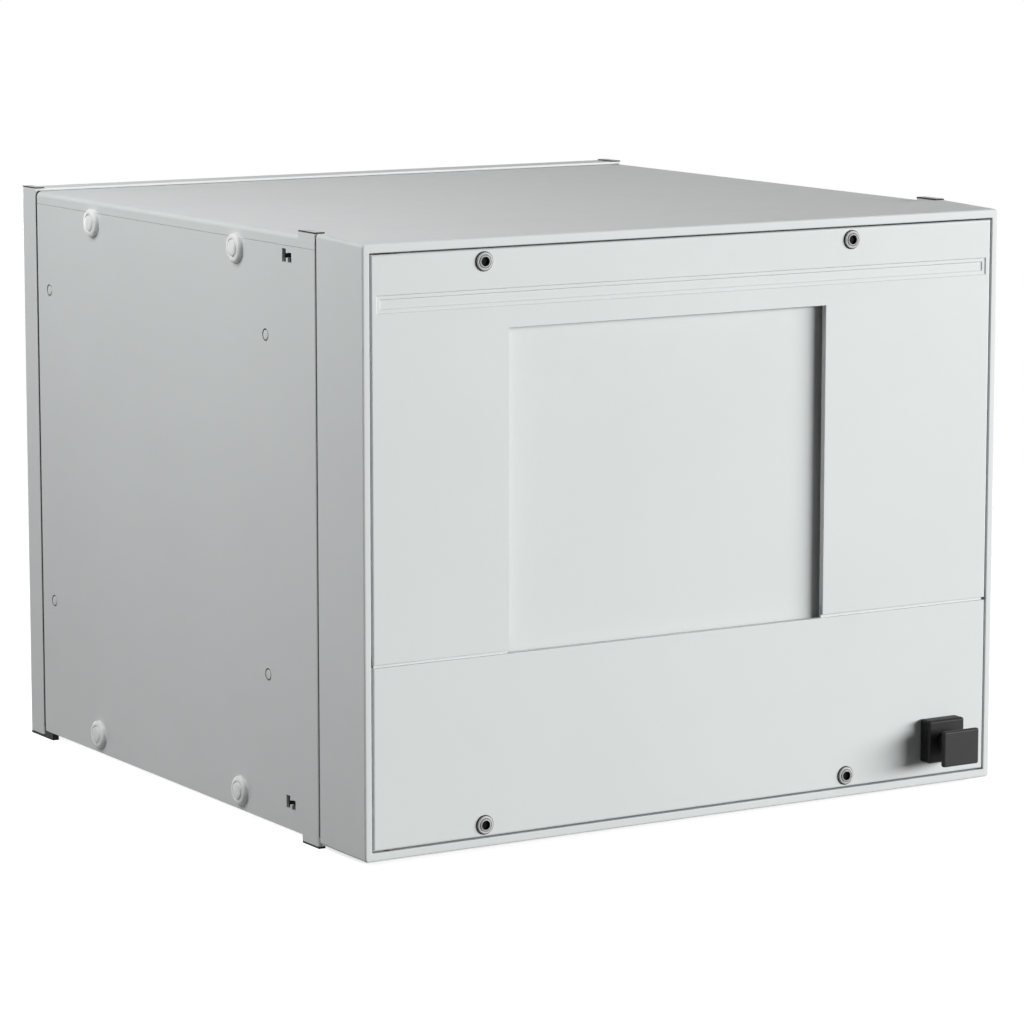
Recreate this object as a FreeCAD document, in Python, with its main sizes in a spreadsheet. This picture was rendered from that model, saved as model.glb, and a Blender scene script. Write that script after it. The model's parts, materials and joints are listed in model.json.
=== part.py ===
"""Bench reflow oven: a painted sheet-metal case, a hinged front door with a quarter-turn latch,
an insulated heating chamber above and an electronics bay below.

Frame: +X to the right of someone facing the door, +Y from the door to the back, +Z up.
The origin is on the surface the oven stands on, under the middle of its bounding box. Millimetres.
"""
import FreeCAD, Part
import os
import re

import Sketcher

DIMENSIONS = {
    # Case
    "case_width": 500, "case_height": 400, "case_depth": 499, "case_sheet": 2, "seam": 1.6,
    "frame_depth": 60, "frame_side": 5.2, "frame_top": 6, "frame_bottom": 5.8, "frame_lift": 3,
    "frame_round": 2.5, "rear_rim": 21.2, "top_flange": 8.4, "top_round": 3.5, "body_lift": 5.5,
    "foot_height": 1.5, "foot_width": 5, "heel_depth": 13, "corner_depth": 22, "cap_width": 7.5,
    "cap_height": 0.8, "top_rise": 2, "post_depth": 20, "post_width": 5.5, "base_sheet": 3, "fit_gap": 0.2,
    # Marks on the sides
    "plug_front": 169, "plug_back": 115, "plug_low": 18.9, "plug_drop": 15.6, "plug_radius": 9.8,
    "plug_face": 6.4, "plug_rim": 1.6, "plug_height": 4, "plug_stem": 4, "plug_stem_length": 7,
    "rivet_front": 129.4, "rivet_back": 42.7, "rivet_low": 104.7, "rivet_drop": 69.4,
    "rivet_head": 4, "rivet_head_depth": 1, "rivet_shank": 2, "rivet_length": 5,
    "clip_front": 99.2, "clip_low": 23.8, "clip_drop": 15, "clip_width": 12.4, "clip_height": 8.8,
    "clip_slot": 5, "clip_bridge": 3, "clip_step": 2.3, "clip_depth": 4, "clip_margin": 1,
    # Door
    "door_gap": 1, "door_sheet": 4, "door_thickness": 34, "door_round": 1.5, "pan_sheet": 1.5,
    "pan_hinge_room": 21.8, "pan_latch_room": 7.8, "pan_lip": 1, "pan_flange": 17, "pan_step": 4,
    "groove_place": 130, "groove_width": 2, "groove_depth": 2, "groove_lap": 6,
    "window_centre": -18.1, "window_width": 248.4, "window_drop": 51.5, "window_depth": 8,
    "window_margin": 18, "strip_inset": 3.8, "strip_height": 12, "strip_drop": 25.7, "strip_depth": 1.2,
    "screw_centre": -17.2, "screw_spread": 287.6, "screw_inset": 8, "screw_radius": 2.5,
    "screw_length": 11, "screw_head": 4, "screw_head_height": 2, "socket_radius": 2.6,
    "socket_depth": 1.5, "washer_radius": 6.5, "washer_height": 1.6, "nut_radius": 4.6, "nut_height": 3.5,
    "door_fill_low": 60, "door_fill_gap": 0.5,
    # Hinge
    "hinge_inset": 11.8, "hinge_setback": 5, "hinge_pin": 2.5, "hinge_pin_reach": 10, "hinge_seat": 4,
    "hinge_block_width": 16, "hinge_block_height": 12, "hinge_block_front": 1.6,
    "hinge_block_back": 12, "running_gap": 0.05,
    # Latch
    "knob_inset": 39.2, "knob_up": 35.4, "knob_size": 30, "knob_base_depth": 11, "knob_reach": 28,
    "grip_height": 25, "grip_depth": 4, "grip_drop": 2, "knob_round": 1.5, "neck_radius": 7,
    "spindle_radius": 4, "spindle_rivet": 5, "spindle_rivet_length": 2, "cam_width": 10, "cam_tail": 8,
    "cam_reach": 32, "cam_depth": 4, "cam_setback": 46, "cam_clearance": 4,
    # Chamber
    "bulkhead_setback": 40, "bulkhead_rim": 18, "seal_inset": 6, "seal_width": 12, "seal_gap": 0.3,
    "shelf_place": 142, "insulation": 25, "liner": 2, "side_room": 25.3, "roof_room": 22,
    "rear_room": 124.8, "heater_radius": 5, "heater_inset": 22, "heater_first": 60, "heater_last": 48,
    "holder_width": 12, "holder_height": 20, "holder_margin": 15, "rack_place": 70, "rack_rail": 3,
    "rack_wire": 2, "rack_front": 20, "rack_back": 12, "rack_inset": 9, "runner_width": 14,
    "runner_sheet": 2, "runner_height": 12, "baffle_sheet": 1.5, "baffle_space": 30, "baffle_eye": 40,
    "baffle_slot_width": 25, "baffle_slot_margin": 30, "baffle_slot_inset": 15, "probe_inset": 70,
    "probe_drop": 50, "probe_radius": 1.5, "probe_reach": 120, "gland_radius": 5, "gland_length": 8,
    "hole_gap": 0.2,
    # Convection fan and exhaust
    "wheel_radius": 55, "wheel_plate": 1.5, "wheel_blade": 16, "wheel_blade_sheet": 1.5,
    "wheel_hub": 12, "wheel_gap": 5, "shaft_radius": 4, "shaft_hole": 6, "shaft_engage": 40,
    "motor_radius": 36, "motor_length": 55, "bracket_width": 90, "bracket_sheet": 3, "bracket_foot": 34,
    "spigot_inset": 60, "spigot_drop": 40, "spigot_radius": 30, "spigot_wall": 2, "spigot_reach": 40,
    "spigot_flange": 42, "spigot_flange_sheet": 2.5,
    # Electronics bay and rear panel
    "bay_room": 247, "supply_width": 98, "supply_depth": 180, "supply_height": 45, "supply_inset": 48,
    "board_width": 140, "board_depth": 180, "board_sheet": 1.6, "board_gap": 42, "standoff_radius": 3,
    "standoff_height": 10, "standoff_inset": 8, "relay_width": 45, "relay_depth": 58, "relay_height": 30,
    "relay_gap": 40, "cooler_inset": 98, "cooler_up": 66, "cooler_size": 80, "cooler_depth": 25,
    "cooler_bore": 38, "cooler_hub": 17, "cooler_arm": 6, "cooler_arm_inset": 1, "cooler_plate": 3,
    "cooler_shaft": 2, "cooler_blade": 36.5, "cooler_blade_sheet": 1.5, "cooler_blade_chord": 18,
    "cooler_pitch": 35, "guard_wire": 2, "guard_step": 10, "socket_row": 50, "socket_pitch": 50,
    "inlet_inset": 63, "inlet_width": 27.5, "inlet_height": 20, "inlet_depth": 22, "inlet_rim": 8,
    "inlet_rim_sheet": 2.5, "inlet_wall": 2, "inlet_cavity": 15, "inlet_blade": 2,
    "inlet_blade_height": 4, "inlet_blade_pitch": 7, "switch_width": 14, "switch_height": 22,
    "switch_depth": 21, "switch_rim": 3, "switch_rim_sheet": 2.5, "rocker_radius": 9,
    "rocker_width": 10, "rocker_face": 4, "rocker_pin": 1.5, "rocker_pin_length": 1.4,
    "rocker_tilt": 8, "rocker_gap": 0.3, "data_width": 14, "data_height": 12, "data_depth": 16,
    "data_slot_width": 9, "data_slot_height": 4, "data_slot_depth": 10, "vent_width": 6,
    "vent_height": 60, "vent_pitch": 14, "vent_across": -130, "vent_drop": 90, "rear_screw_low": 40,
    "rear_screw_drop": 40, "rear_screw_radius": 1.8, "rear_screw_head": 3.5,
    "rear_screw_head_height": 2, "rear_screw_length": 10,
}

# Places worked out from the driving dimensions.
PLACES = {
    "half_width": "case_width / 2",
    "rise_top": "case_height + top_rise",
    "inner_half": "half_width - case_sheet",
    "front_y": "(knob_reach - case_depth - spigot_reach) / 2",
    "frame_back_y": "front_y + frame_depth",
    "body_front_y": "frame_back_y + seam",
    "back_y": "front_y + case_depth",
    "back_inner_y": "back_y - case_sheet",
    "rim_y": "back_y - rear_rim",
    "body_back_y": "rim_y - seam",
    "top_inner": "case_height - case_sheet",
    "side_top": "case_height - top_flange - fit_gap",
    "base_top": "body_lift + base_sheet",
    "post_inner": "inner_half - fit_gap - post_width",
    "post_back_y": "body_front_y + post_depth",
    "rear_post_y": "rim_y + fit_gap",
    "plug_front_y": "front_y + plug_front",
    "plug_rear_y": "back_y - plug_back",
    "plug_high": "case_height - plug_drop",
    "rivet_front_y": "front_y + rivet_front",
    "rivet_rear_y": "back_y - rivet_back",
    "rivet_high": "case_height - rivet_drop",
    "clip_y": "front_y + clip_front",
    "clip_high": "case_height - clip_drop",
    "rear_screw_high": "case_height - rear_screw_drop",
    "vent_low": "case_height - vent_drop - vent_height",
    "opening_half": "half_width - frame_side",
    "opening_low": "frame_lift + frame_bottom",
    "opening_high": "case_height - frame_top",
    "door_half": "opening_half - door_gap",
    "door_low": "opening_low + door_gap",
    "door_high": "opening_high - door_gap",
    "sheet_back_y": "front_y + door_sheet",
    "door_back_y": "front_y + door_thickness",
    "lower_top": "groove_place - groove_width / 2",
    "upper_low": "groove_place + groove_width / 2",
    "lap_y": "front_y + groove_depth",
    "window_left": "window_centre - window_width / 2",
    "window_right": "window_centre + window_width / 2",
    "window_top": "door_high - window_drop",
    "strip_half": "door_half - strip_inset",
    "strip_high": "door_high - strip_drop",
    "strip_low": "strip_high - strip_height",
    "tray_left": "window_left - window_margin",
    "tray_right": "window_right + window_margin",
    "tray_low": "upper_low - window_margin",
    "tray_high": "window_top + window_margin",
    "tray_floor_y": "front_y + window_depth",
    "tray_back_y": "tray_floor_y + pan_sheet",
    "screw_left": "screw_centre - screw_spread / 2",
    "screw_right": "screw_centre + screw_spread / 2",
    "screw_low": "door_low + screw_inset",
    "screw_high": "door_high - screw_inset",
    "flange_back_y": "sheet_back_y + pan_sheet",
    "pan_low": "door_low + pan_lip",
    "pan_high": "door_high - pan_lip",
    "pan_left": "door_half - pan_hinge_room",
    "pan_right": "door_half - pan_latch_room",
    "pan_box_left": "pan_step - pan_left",
    "pan_box_right": "pan_right - pan_step",
    "pan_box_low": "pan_low + pan_flange",
    "pan_box_high": "pan_high - pan_flange",
    "hinge_x": "hinge_inset - door_half",
    "hinge_y": "front_y + hinge_setback",
    "block_front_y": "front_y + hinge_block_front",
    "knob_across": "door_half - knob_inset",
    "neck_y": "front_y - knob_base_depth - fit_gap",
    "grip_back_y": "front_y - knob_reach + grip_depth",
    "cam_y": "front_y + cam_setback",
    "cam_back_y": "cam_y + cam_depth",
    "bulkhead_y": "front_y + bulkhead_setback",
    "bulkhead_back_y": "bulkhead_y + case_sheet",
    "bulkhead_half": "opening_half - fit_gap",
    "bulkhead_low": "opening_low + fit_gap",
    "bulkhead_high": "opening_high - fit_gap",
    "chamber_half": "post_inner - side_room - insulation - liner",
    "liner_half": "chamber_half + liner",
    "fill_half": "liner_half + insulation",
    "liner_low": "shelf_place + insulation",
    "chamber_low": "liner_low + liner",
    "chamber_high": "top_inner - roof_room - insulation - liner",
    "liner_high": "chamber_high + liner",
    "fill_high": "liner_high + insulation",
    "chamber_front_y": "bulkhead_back_y + fit_gap",
    "chamber_back_y": "back_inner_y - rear_room",
    "chamber_rear_y": "chamber_back_y - liner",
    "fill_back_y": "chamber_back_y + insulation",
    "baffle_y": "chamber_rear_y - baffle_space",
    "rack_z": "chamber_low + rack_place",
    "runner_top": "rack_z - rack_rail - fit_gap",
    "rack_front_y": "chamber_front_y + rack_front",
    "rack_back_y": "baffle_y - rack_back",
    "fan_z": "(chamber_low + chamber_high) / 2",
    "wheel_back_y": "chamber_rear_y - wheel_gap",
    "wheel_plate_y": "wheel_back_y - wheel_plate",
    "wheel_front_y": "wheel_plate_y - wheel_blade",
    "bracket_y": "fill_back_y + fit_gap",
    "motor_y": "bracket_y + bracket_sheet",
    "probe_across": "probe_inset - chamber_half",
    "probe_z": "chamber_high - probe_drop",
    "spigot_across": "chamber_half - spigot_inset",
    "spigot_z": "chamber_high - spigot_drop",
    "spigot_end_y": "back_y + spigot_reach",
    "heater_front_y": "chamber_front_y + heater_first",
    "heater_back_y": "baffle_y - heater_last",
    "bay_y": "back_inner_y - bay_room",
    "supply_across": "supply_inset - inner_half",
    "board_across": "supply_across + supply_width + board_gap",
    "relay_across": "board_across + board_width + relay_gap",
    "cooler_across": "cooler_inset - inner_half",
    "inlet_across": "inner_half - inlet_inset",
    "switch_across": "inlet_across - socket_pitch",
    "data_across": "switch_across - socket_pitch",
    "cooler_y": "back_inner_y - cooler_depth",
    "cooler_half": "cooler_size / 2",
    "rocker_y": "back_y",
}

doc = FreeCAD.newDocument("reflow_oven")
sheet = doc.addObject("Spreadsheet::Sheet", "dims")
nodes = []


def fill_sheet():
    """Write each driving dimension into the sheet, with its name as the cell's alias."""
    for row, (name, size) in enumerate(DIMENSIONS.items(), start=1):
        sheet.set(f"A{row}", name)
        sheet.set(f"B{row}", str(size))
        sheet.setAlias(f"B{row}", name)
    doc.recompute()


def expand(text):
    """Turn names of dimensions and places into an expression on the sheet's cells."""
    def swap(match):
        word = match.group(0)
        if word in DIMENSIONS:
            return "dims." + word
        if word in PLACES:
            return "(" + expand(PLACES[word]) + ")"
        return word
    return re.sub(r"[a-z][a-z_0-9]*", swap, str(text))


def value(text):
    """The number that an expression gives now."""
    return float(sheet.evalExpression(expand(text)))


def node(obj, name):
    """Keep an object as a sub-part under its own name."""
    obj.Label = name
    nodes.append(obj)
    return obj


def box(name, x, y, z):
    """A block, given by its low and high side along each axis."""
    obj = doc.addObject("Part::Box", name)
    for size, axis, (low, high) in zip(("Length", "Width", "Height"), "xyz", (x, y, z)):
        obj.setExpression(size, expand(f"({high}) - ({low})"))
        obj.setExpression("Placement.Base." + axis, expand(low))
    return obj


ALONG = {
    "x": FreeCAD.Rotation(FreeCAD.Vector(0, 1, 0), 90),
    "y": FreeCAD.Rotation(FreeCAD.Vector(1, 0, 0), -90),
    "z": FreeCAD.Rotation(),
}


def point_along(obj, axis, low, at):
    """Lay an object along an axis from its low end, at the given places on the other two axes."""
    obj.Placement = FreeCAD.Placement(FreeCAD.Vector(), ALONG[axis])
    places = dict(zip([other for other in "xyz" if other != axis], at))
    places[axis] = low
    for side, text in places.items():
        obj.setExpression("Placement.Base." + side, expand(text))


def rod(name, axis, radius, span, at):
    """A round bar along an axis, between the two ends in span."""
    obj = doc.addObject("Part::Cylinder", name)
    obj.setExpression("Radius", expand(radius))
    obj.setExpression("Height", expand(f"({span[1]}) - ({span[0]})"))
    point_along(obj, axis, span[0], at)
    return obj


def cone(name, axis, radii, span, at):
    """A round taper along an axis, with its radius at each end of span."""
    obj = doc.addObject("Part::Cone", name)
    obj.setExpression("Radius1", expand(radii[0]))
    obj.setExpression("Radius2", expand(radii[1]))
    obj.setExpression("Height", expand(f"({span[1]}) - ({span[0]})"))
    point_along(obj, axis, span[0], at)
    return obj


def group(name, parts):
    """Separate solids kept together in one object."""
    obj = doc.addObject("Part::Compound", name)
    obj.Links = parts
    return obj


def cut(name, base, tools):
    """A solid less one or more tools that don't meet each other."""
    obj = doc.addObject("Part::Cut", name)
    obj.Base = base
    obj.Tool = tools[0] if len(tools) == 1 else group(name + "_tools", tools)
    return obj


def fuse(name, parts):
    """Several overlapping solids as one."""
    obj = doc.addObject("Part::MultiFuse", name)
    obj.Shapes = parts
    obj.Refine = True
    return obj


def mirror(name, source):
    """The same piece on the other side of the oven's middle."""
    obj = doc.addObject("Part::Mirroring", name)
    obj.Source = source
    obj.Base = (0, 0, 0)
    obj.Normal = (1, 0, 0)
    return obj


def both_sides(name, label, left):
    """Keep pieces of the left side and their mirror images as one sub-part."""
    right = [mirror(item.Name + "_right", item) for item in left]
    node(group(name, left + right), label)


PLANES = {"x": "YZ_Plane", "y": "XZ_Plane", "z": "XY_Plane"}
TOUCH = 1e-6


def new_body(name):
    return doc.addObject("PartDesign::Body", name)


def new_sketch(body, axis, place):
    """A sketch square to an axis, at a place along it."""
    sketch = body.newObject("Sketcher::SketchObject", body.Name + "_sketch")
    plane = next(item for item in body.Origin.OriginFeatures if item.Role == PLANES[axis])
    sketch.AttachmentSupport = [(plane, "")]
    sketch.MapMode = "FlatFace"
    sign = "-" if axis == "y" else ""
    sketch.setExpression("AttachmentOffset.Base.z", expand(f"{sign}({place})"))
    return sketch


def hold(sketch, kind, first, text):
    """Bind one constraint of a sketch to an expression."""
    number = sketch.addConstraint(Sketcher.Constraint(kind, *first, value(text)))
    sketch.setExpression(f"Constraints[{number}]", expand(text))


def outline(sketch, corners):
    """A closed run of straight lines through the given corners."""
    first = sketch.GeometryCount
    points = [FreeCAD.Vector(value(across), value(up), 0) for across, up in corners]
    for start, end in zip(points, points[1:] + points[:1]):
        sketch.addGeometry(Part.LineSegment(start, end), False)
    for number, (across, up) in enumerate(corners):
        line = first + number
        before = first + (number - 1) % len(corners)
        sketch.addConstraint(Sketcher.Constraint("Coincident", before, 2, line, 1))
        hold(sketch, "DistanceX", (-1, 1, line, 1), across)
        hold(sketch, "DistanceY", (-1, 1, line, 1), up)


def rectangle(sketch, across, up):
    left, right = across
    low, high = up
    outline(sketch, [(left, low), (right, low), (right, high), (left, high)])


def circle(sketch, across, up, radius):
    centre = FreeCAD.Vector(value(across), value(up), 0)
    number = sketch.addGeometry(Part.Circle(centre, FreeCAD.Vector(0, 0, 1), value(radius)), False)
    hold(sketch, "DistanceX", (-1, 1, number, 3), across)
    hold(sketch, "DistanceY", (-1, 1, number, 3), up)
    hold(sketch, "Radius", (number,), radius)


def pad(body, axis, span, draw):
    """Add material to a body between the two ends in span, over the outlines that draw makes."""
    sketch = new_sketch(body, axis, span[0])
    draw(sketch)
    feature = body.newObject("PartDesign::Pad", body.Name + "_pad")
    feature.Profile = sketch
    feature.Reversed = axis == "y"
    feature.setExpression("Length", expand(f"({span[1]}) - ({span[0]})"))
    return feature


def pocket(body, axis, span, draw):
    """Take material out of a body between the two ends in span."""
    sketch = new_sketch(body, axis, span[0])
    draw(sketch)
    feature = body.newObject("PartDesign::Pocket", body.Name + "_pocket")
    feature.Profile = sketch
    feature.Reversed = axis != "y"
    feature.setExpression("Length", expand(f"({span[1]}) - ({span[0]})"))
    return feature


def round_edges(body, radius, pick):
    """Round the edges of a body that pick accepts."""
    doc.recompute()
    edges = [f"Edge{i}" for i, edge in enumerate(body.Tip.Shape.Edges, start=1) if pick(edge)]
    tip = body.Tip
    feature = body.newObject("PartDesign::Fillet", body.Name + "_round")
    feature.Base = (tip, edges)
    feature.setExpression("Radius", expand(radius))


def lies_along(edge, axis):
    """True for a straight edge parallel to an axis."""
    return all(getattr(edge.BoundBox, side.upper() + "Length") < TOUCH for side in "xyz" if side != axis)


def near(number, text):
    return abs(number - value(text)) < TOUCH


def plate(name, axis, span, across, up, holes=()):
    """A flat rectangular sheet with round holes, each given as (across, up, radius)."""
    body = new_body(name)

    def draw(sketch):
        rectangle(sketch, across, up)
        for hole in holes:
            circle(sketch, *hole)

    pad(body, axis, span, draw)
    return body


def ring(name, axis, span, across, up, wall):
    """A rectangular ring: an outer rectangle less the same one moved in by wall."""
    body = new_body(name)
    pad_ring(body, axis, span, across, up, wall)
    return body


def pad_ring(body, axis, span, across, up, wall):
    def draw(sketch):
        rectangle(sketch, across, up)
        inner_across = (f"{across[0]} + {wall}", f"{across[1]} - {wall}")
        inner_up = (f"{up[0]} + {wall}", f"{up[1]} - {wall}")
        rectangle(sketch, inner_across, inner_up)

    pad(body, axis, span, draw)


# Case

def front_frame():
    body = new_body("front_frame_body")

    def draw(sketch):
        rectangle(sketch, ("-half_width", "half_width"), ("frame_lift", "rise_top"))
        rectangle(sketch, ("-opening_half", "opening_half"), ("opening_low", "opening_high"))

    pad(body, "y", ("front_y", "frame_back_y"), draw)
    seats = (("opening_low - hinge_seat", "opening_low"), ("opening_high", "opening_high + hinge_seat"))
    for seat in seats:
        pocket(body, "z", seat, lambda s: circle(s, "hinge_x", "hinge_y", "hinge_pin + hole_gap"))

    def outer_corner(edge):
        middle = edge.BoundBox.Center
        tall = near(middle.z, "frame_lift") or near(middle.z, "rise_top")
        return lies_along(edge, "y") and tall and near(abs(middle.x), "half_width")

    round_edges(body, "frame_round", outer_corner)
    over = [("front_y", "case_height"), ("frame_back_y", "rise_top"), ("front_y", "rise_top")]
    pocket(body, "x", ("-half_width", "half_width"), lambda s: outline(s, over))
    node(body, "front_frame")


def corner_caps():
    across = ("-half_width", "cap_width - half_width")
    rows = (("body_front_y", "body_front_y + corner_depth"), ("rim_y", "back_y"))
    levels = (("case_height", "rise_top + cap_height"), ("rise_top", "rise_top + cap_height"))
    both_sides("caps", "corner_caps", [box(f"cap_{i}", across, y, levels[i]) for i, y in enumerate(rows)])


def corner_feet():
    """Thin pads under the corners. The rear ones have a heel under the side panel."""
    across = ("-half_width", "foot_width - half_width")
    front = box("foot_front", across, ("body_front_y", "body_front_y + corner_depth"), ("0", "foot_height"))
    heel_y = "body_back_y - heel_depth"
    rear_pad = box("foot_rear_pad", across, (heel_y, "back_y"), ("0", "foot_height"))
    heel = box("foot_heel", across, (heel_y, "body_back_y"), ("0", "body_lift"))
    both_sides("feet", "corner_feet", [front, fuse("foot_rear", [rear_pad, heel])])


REAR_SCREW_ROWS = ("rear_screw_low", "(rear_screw_low + rear_screw_high) / 2", "rear_screw_high")
POST_MIDDLE = "post_inner + post_width / 2"


def corner_posts():
    across = ("-inner_half + fit_gap", "-post_inner")
    top = "top_inner - fit_gap"
    front = box("post_front", across, ("body_front_y", "post_back_y"), ("foot_height", top))
    on_rim = ("foot_height + case_sheet", top)
    blank = box("post_rear_blank", across, ("rear_post_y", "back_inner_y - fit_gap"), on_rim)
    depth = ("back_inner_y - rear_screw_length", "back_y")
    radius = "rear_screw_radius + hole_gap"
    holes = [rod(f"post_hole_{i}", "y", radius, depth, (f"-({POST_MIDDLE})", z))
             for i, z in enumerate(REAR_SCREW_ROWS)]
    rear = cut("post_rear", blank, holes)
    both_sides("posts", "corner_posts", [front, rear])


def rear_screws():
    left = []
    for i, z in enumerate(REAR_SCREW_ROWS):
        at = (f"-({POST_MIDDLE})", z)
        shank_span = ("back_y - rear_screw_length", "back_y")
        shank = rod(f"rear_shank_{i}", "y", "rear_screw_radius", shank_span, at)
        head_span = ("back_y", "back_y + rear_screw_head_height")
        head = rod(f"rear_head_{i}", "y", "rear_screw_head", head_span, at)
        left.append(fuse(f"rear_screw_{i}", [shank, head]))
    both_sides("rear_screw_set", "rear_screws", left)


def floor_outline(sketch):
    """A floor as wide as the case, notched round the two front posts."""
    wide = "inner_half - fit_gap"
    slim = "post_inner - fit_gap"
    start, step, end = "body_front_y", "post_back_y + fit_gap", "rear_post_y - fit_gap"
    right = [(slim, start), (slim, step), (wide, step), (wide, end)]
    left = [(f"-({across})", along) for across, along in reversed(right)]
    outline(sketch, right + left)


def base_plate():
    body = new_body("base_plate_body")
    pad(body, "z", ("body_lift", "base_top"), floor_outline)
    node(body, "base_plate")


def bay_shelf():
    body = new_body("bay_shelf_body")
    pad(body, "z", ("shelf_place - case_sheet", "shelf_place"), floor_outline)
    node(body, "bay_shelf")


SIDE_PLUGS = [(y, z) for y in ("plug_front_y", "plug_rear_y") for z in ("plug_low", "plug_high")]
SIDE_RIVETS = [(y, z) for y in ("rivet_front_y", "rivet_rear_y") for z in ("rivet_low", "rivet_high")]
SIDE_CLIPS = [("clip_y", z) for z in ("clip_low", "clip_high")]


def clip_slot(sketch, along, up):
    """An H on its side frame: two upright slots joined by a bridge. The front slot's top is lower."""
    wide, slot = "clip_width / 2", "clip_width / 2 - clip_slot"
    tall, bridge = "clip_height / 2", "clip_bridge / 2"
    quarter = [(wide, tall), (slot, tall), (slot, bridge)]
    points = quarter
    step = f"{tall} - clip_step"
    points = points + [(f"-({slot})", bridge), (f"-({slot})", step), (f"-({wide})", step)]
    points = points + [(f"-({a})", f"-({b})") for a, b in quarter]
    points = points + [(a, f"-({b})") for a, b in reversed(quarter)]
    outline(sketch, [(f"{along} + ({a})", f"{up} + ({b})") for a, b in points])


def side_panels():
    body = new_body("side_panel_body")
    span = ("-half_width", "-inner_half")

    ear_y = "body_front_y + corner_depth"
    corners = [("body_front_y", "foot_height"), (ear_y, "foot_height"), (ear_y, "body_lift"),
               ("body_back_y", "body_lift"), ("body_back_y", "side_top"), ("body_front_y", "side_top")]

    def draw(sketch):
        outline(sketch, corners)
        for along, up in SIDE_PLUGS:
            circle(sketch, along, up, "plug_stem + hole_gap")
        for along, up in SIDE_RIVETS:
            circle(sketch, along, up, "rivet_shank + hole_gap")
        for along, up in SIDE_CLIPS:
            clip_slot(sketch, along, up)

    def draw_heads(sketch):
        for along, up in SIDE_RIVETS:
            circle(sketch, along, up, "rivet_head + hole_gap")

    pad(body, "x", span, draw)
    pocket(body, "x", ("-half_width", "-half_width + rivet_head_depth"), draw_heads)
    node(body, "side_panel_left")
    node(mirror("side_panel_mirror", body), "side_panel_right")


def side_plugs():
    left = []
    for i, at in enumerate(SIDE_PLUGS):
        rim = rod(f"plug_rim_{i}", "x", "plug_radius", ("-half_width - plug_rim", "-half_width"), at)
        span = ("-half_width - plug_height", "-half_width - plug_rim")
        face = cone(f"plug_face_{i}", "x", ("plug_face", "plug_radius"), span, at)
        stem_span = ("-half_width", "-half_width + plug_stem_length")
        stem = rod(f"plug_stem_{i}", "x", "plug_stem", stem_span, at)
        left.append(fuse(f"plug_{i}", [rim, face, stem]))
    both_sides("plugs", "side_plugs", left)


def side_rivets():
    left = []
    for i, at in enumerate(SIDE_RIVETS):
        head_span = ("-half_width", "-half_width + rivet_head_depth")
        head = rod(f"rivet_head_{i}", "x", "rivet_head", head_span, at)
        shank_span = ("-half_width", "-half_width + rivet_length")
        shank = rod(f"rivet_shank_{i}", "x", "rivet_shank", shank_span, at)
        left.append(fuse(f"rivet_{i}", [head, shank]))
    both_sides("rivets", "side_rivets", left)


def frame_clips():
    left = []
    for i, (along, up) in enumerate(SIDE_CLIPS):
        half_along = "clip_width / 2 + clip_margin"
        half_up = "clip_height / 2 + clip_margin"
        left.append(box(f"clip_{i}", ("-inner_half", "-inner_half + clip_depth"),
                        (f"{along} - ({half_along})", f"{along} + {half_along}"),
                        (f"{up} - ({half_up})", f"{up} + {half_up}")))
    both_sides("clips", "frame_clips", left)


def top_panel():
    body = new_body("top_panel_body")
    flange = "case_height - top_flange"
    right = [("inner_half", "top_inner"), ("inner_half", flange), ("half_width", flange),
             ("half_width", "case_height")]
    left = [(f"-{across}", up) for across, up in reversed(right)]
    pad(body, "y", ("body_front_y", "body_back_y"), lambda s: outline(s, right + left))

    def outer_bend(edge):
        middle = edge.BoundBox.Center
        return lies_along(edge, "y") and near(middle.z, "case_height")

    round_edges(body, "top_round", outer_bend)
    node(body, "top_panel")


VENTS = 6


def rear_cover():
    body = new_body("rear_cover_body")
    across = ("-half_width", "half_width")
    up = ("foot_height", "rise_top")
    pad(body, "y", ("back_inner_y", "back_y"), lambda s: rectangle(s, across, up))
    pad_ring(body, "y", ("rim_y", "back_inner_y"), across, up, "case_sheet")

    def middle_cut(sketch, place, wide, tall):
        rectangle(sketch, (f"{place} - {wide} / 2 - fit_gap", f"{place} + {wide} / 2 + fit_gap"),
                  (f"socket_row - {tall} / 2 - fit_gap", f"socket_row + {tall} / 2 + fit_gap"))

    def draw(sketch):
        circle(sketch, "cooler_across", "cooler_up", "cooler_bore")
        circle(sketch, "spigot_across", "spigot_z", "spigot_radius + hole_gap")
        middle_cut(sketch, "inlet_across", "inlet_width", "inlet_height")
        middle_cut(sketch, "switch_across", "switch_width", "switch_height")
        middle_cut(sketch, "data_across", "data_width", "data_height")
        for z in REAR_SCREW_ROWS:
            for side in ("", "-"):
                circle(sketch, f"{side}({POST_MIDDLE})", z, "rear_screw_radius + hole_gap")
        for number in range(VENTS):
            left = f"vent_across + {number} * vent_pitch"
            rectangle(sketch, (left, f"{left} + vent_width"), ("vent_low", "vent_low + vent_height"))

    pocket(body, "y", ("back_inner_y", "back_y"), draw)
    node(body, "rear_cover")


# Heating chamber

def front_bulkhead():
    body = new_body("front_bulkhead_body")
    across = ("-bulkhead_half", "bulkhead_half")
    up = ("bulkhead_low", "bulkhead_high")

    def draw(sketch):
        rectangle(sketch, across, up)
        rectangle(sketch, ("-chamber_half", "chamber_half"), ("chamber_low", "chamber_high"))
        side = "cam_width / 2 + cam_clearance"
        rectangle(sketch, (f"knob_across - ({side})", f"knob_across + {side}"),
                  ("knob_up - cam_tail - cam_clearance", "knob_up + cam_reach + cam_clearance"))

    pad(body, "y", ("bulkhead_y", "bulkhead_back_y"), draw)
    pad_ring(body, "y", ("bulkhead_back_y", "bulkhead_y + bulkhead_rim"), across, up, "case_sheet")
    node(body, "front_bulkhead")


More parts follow.
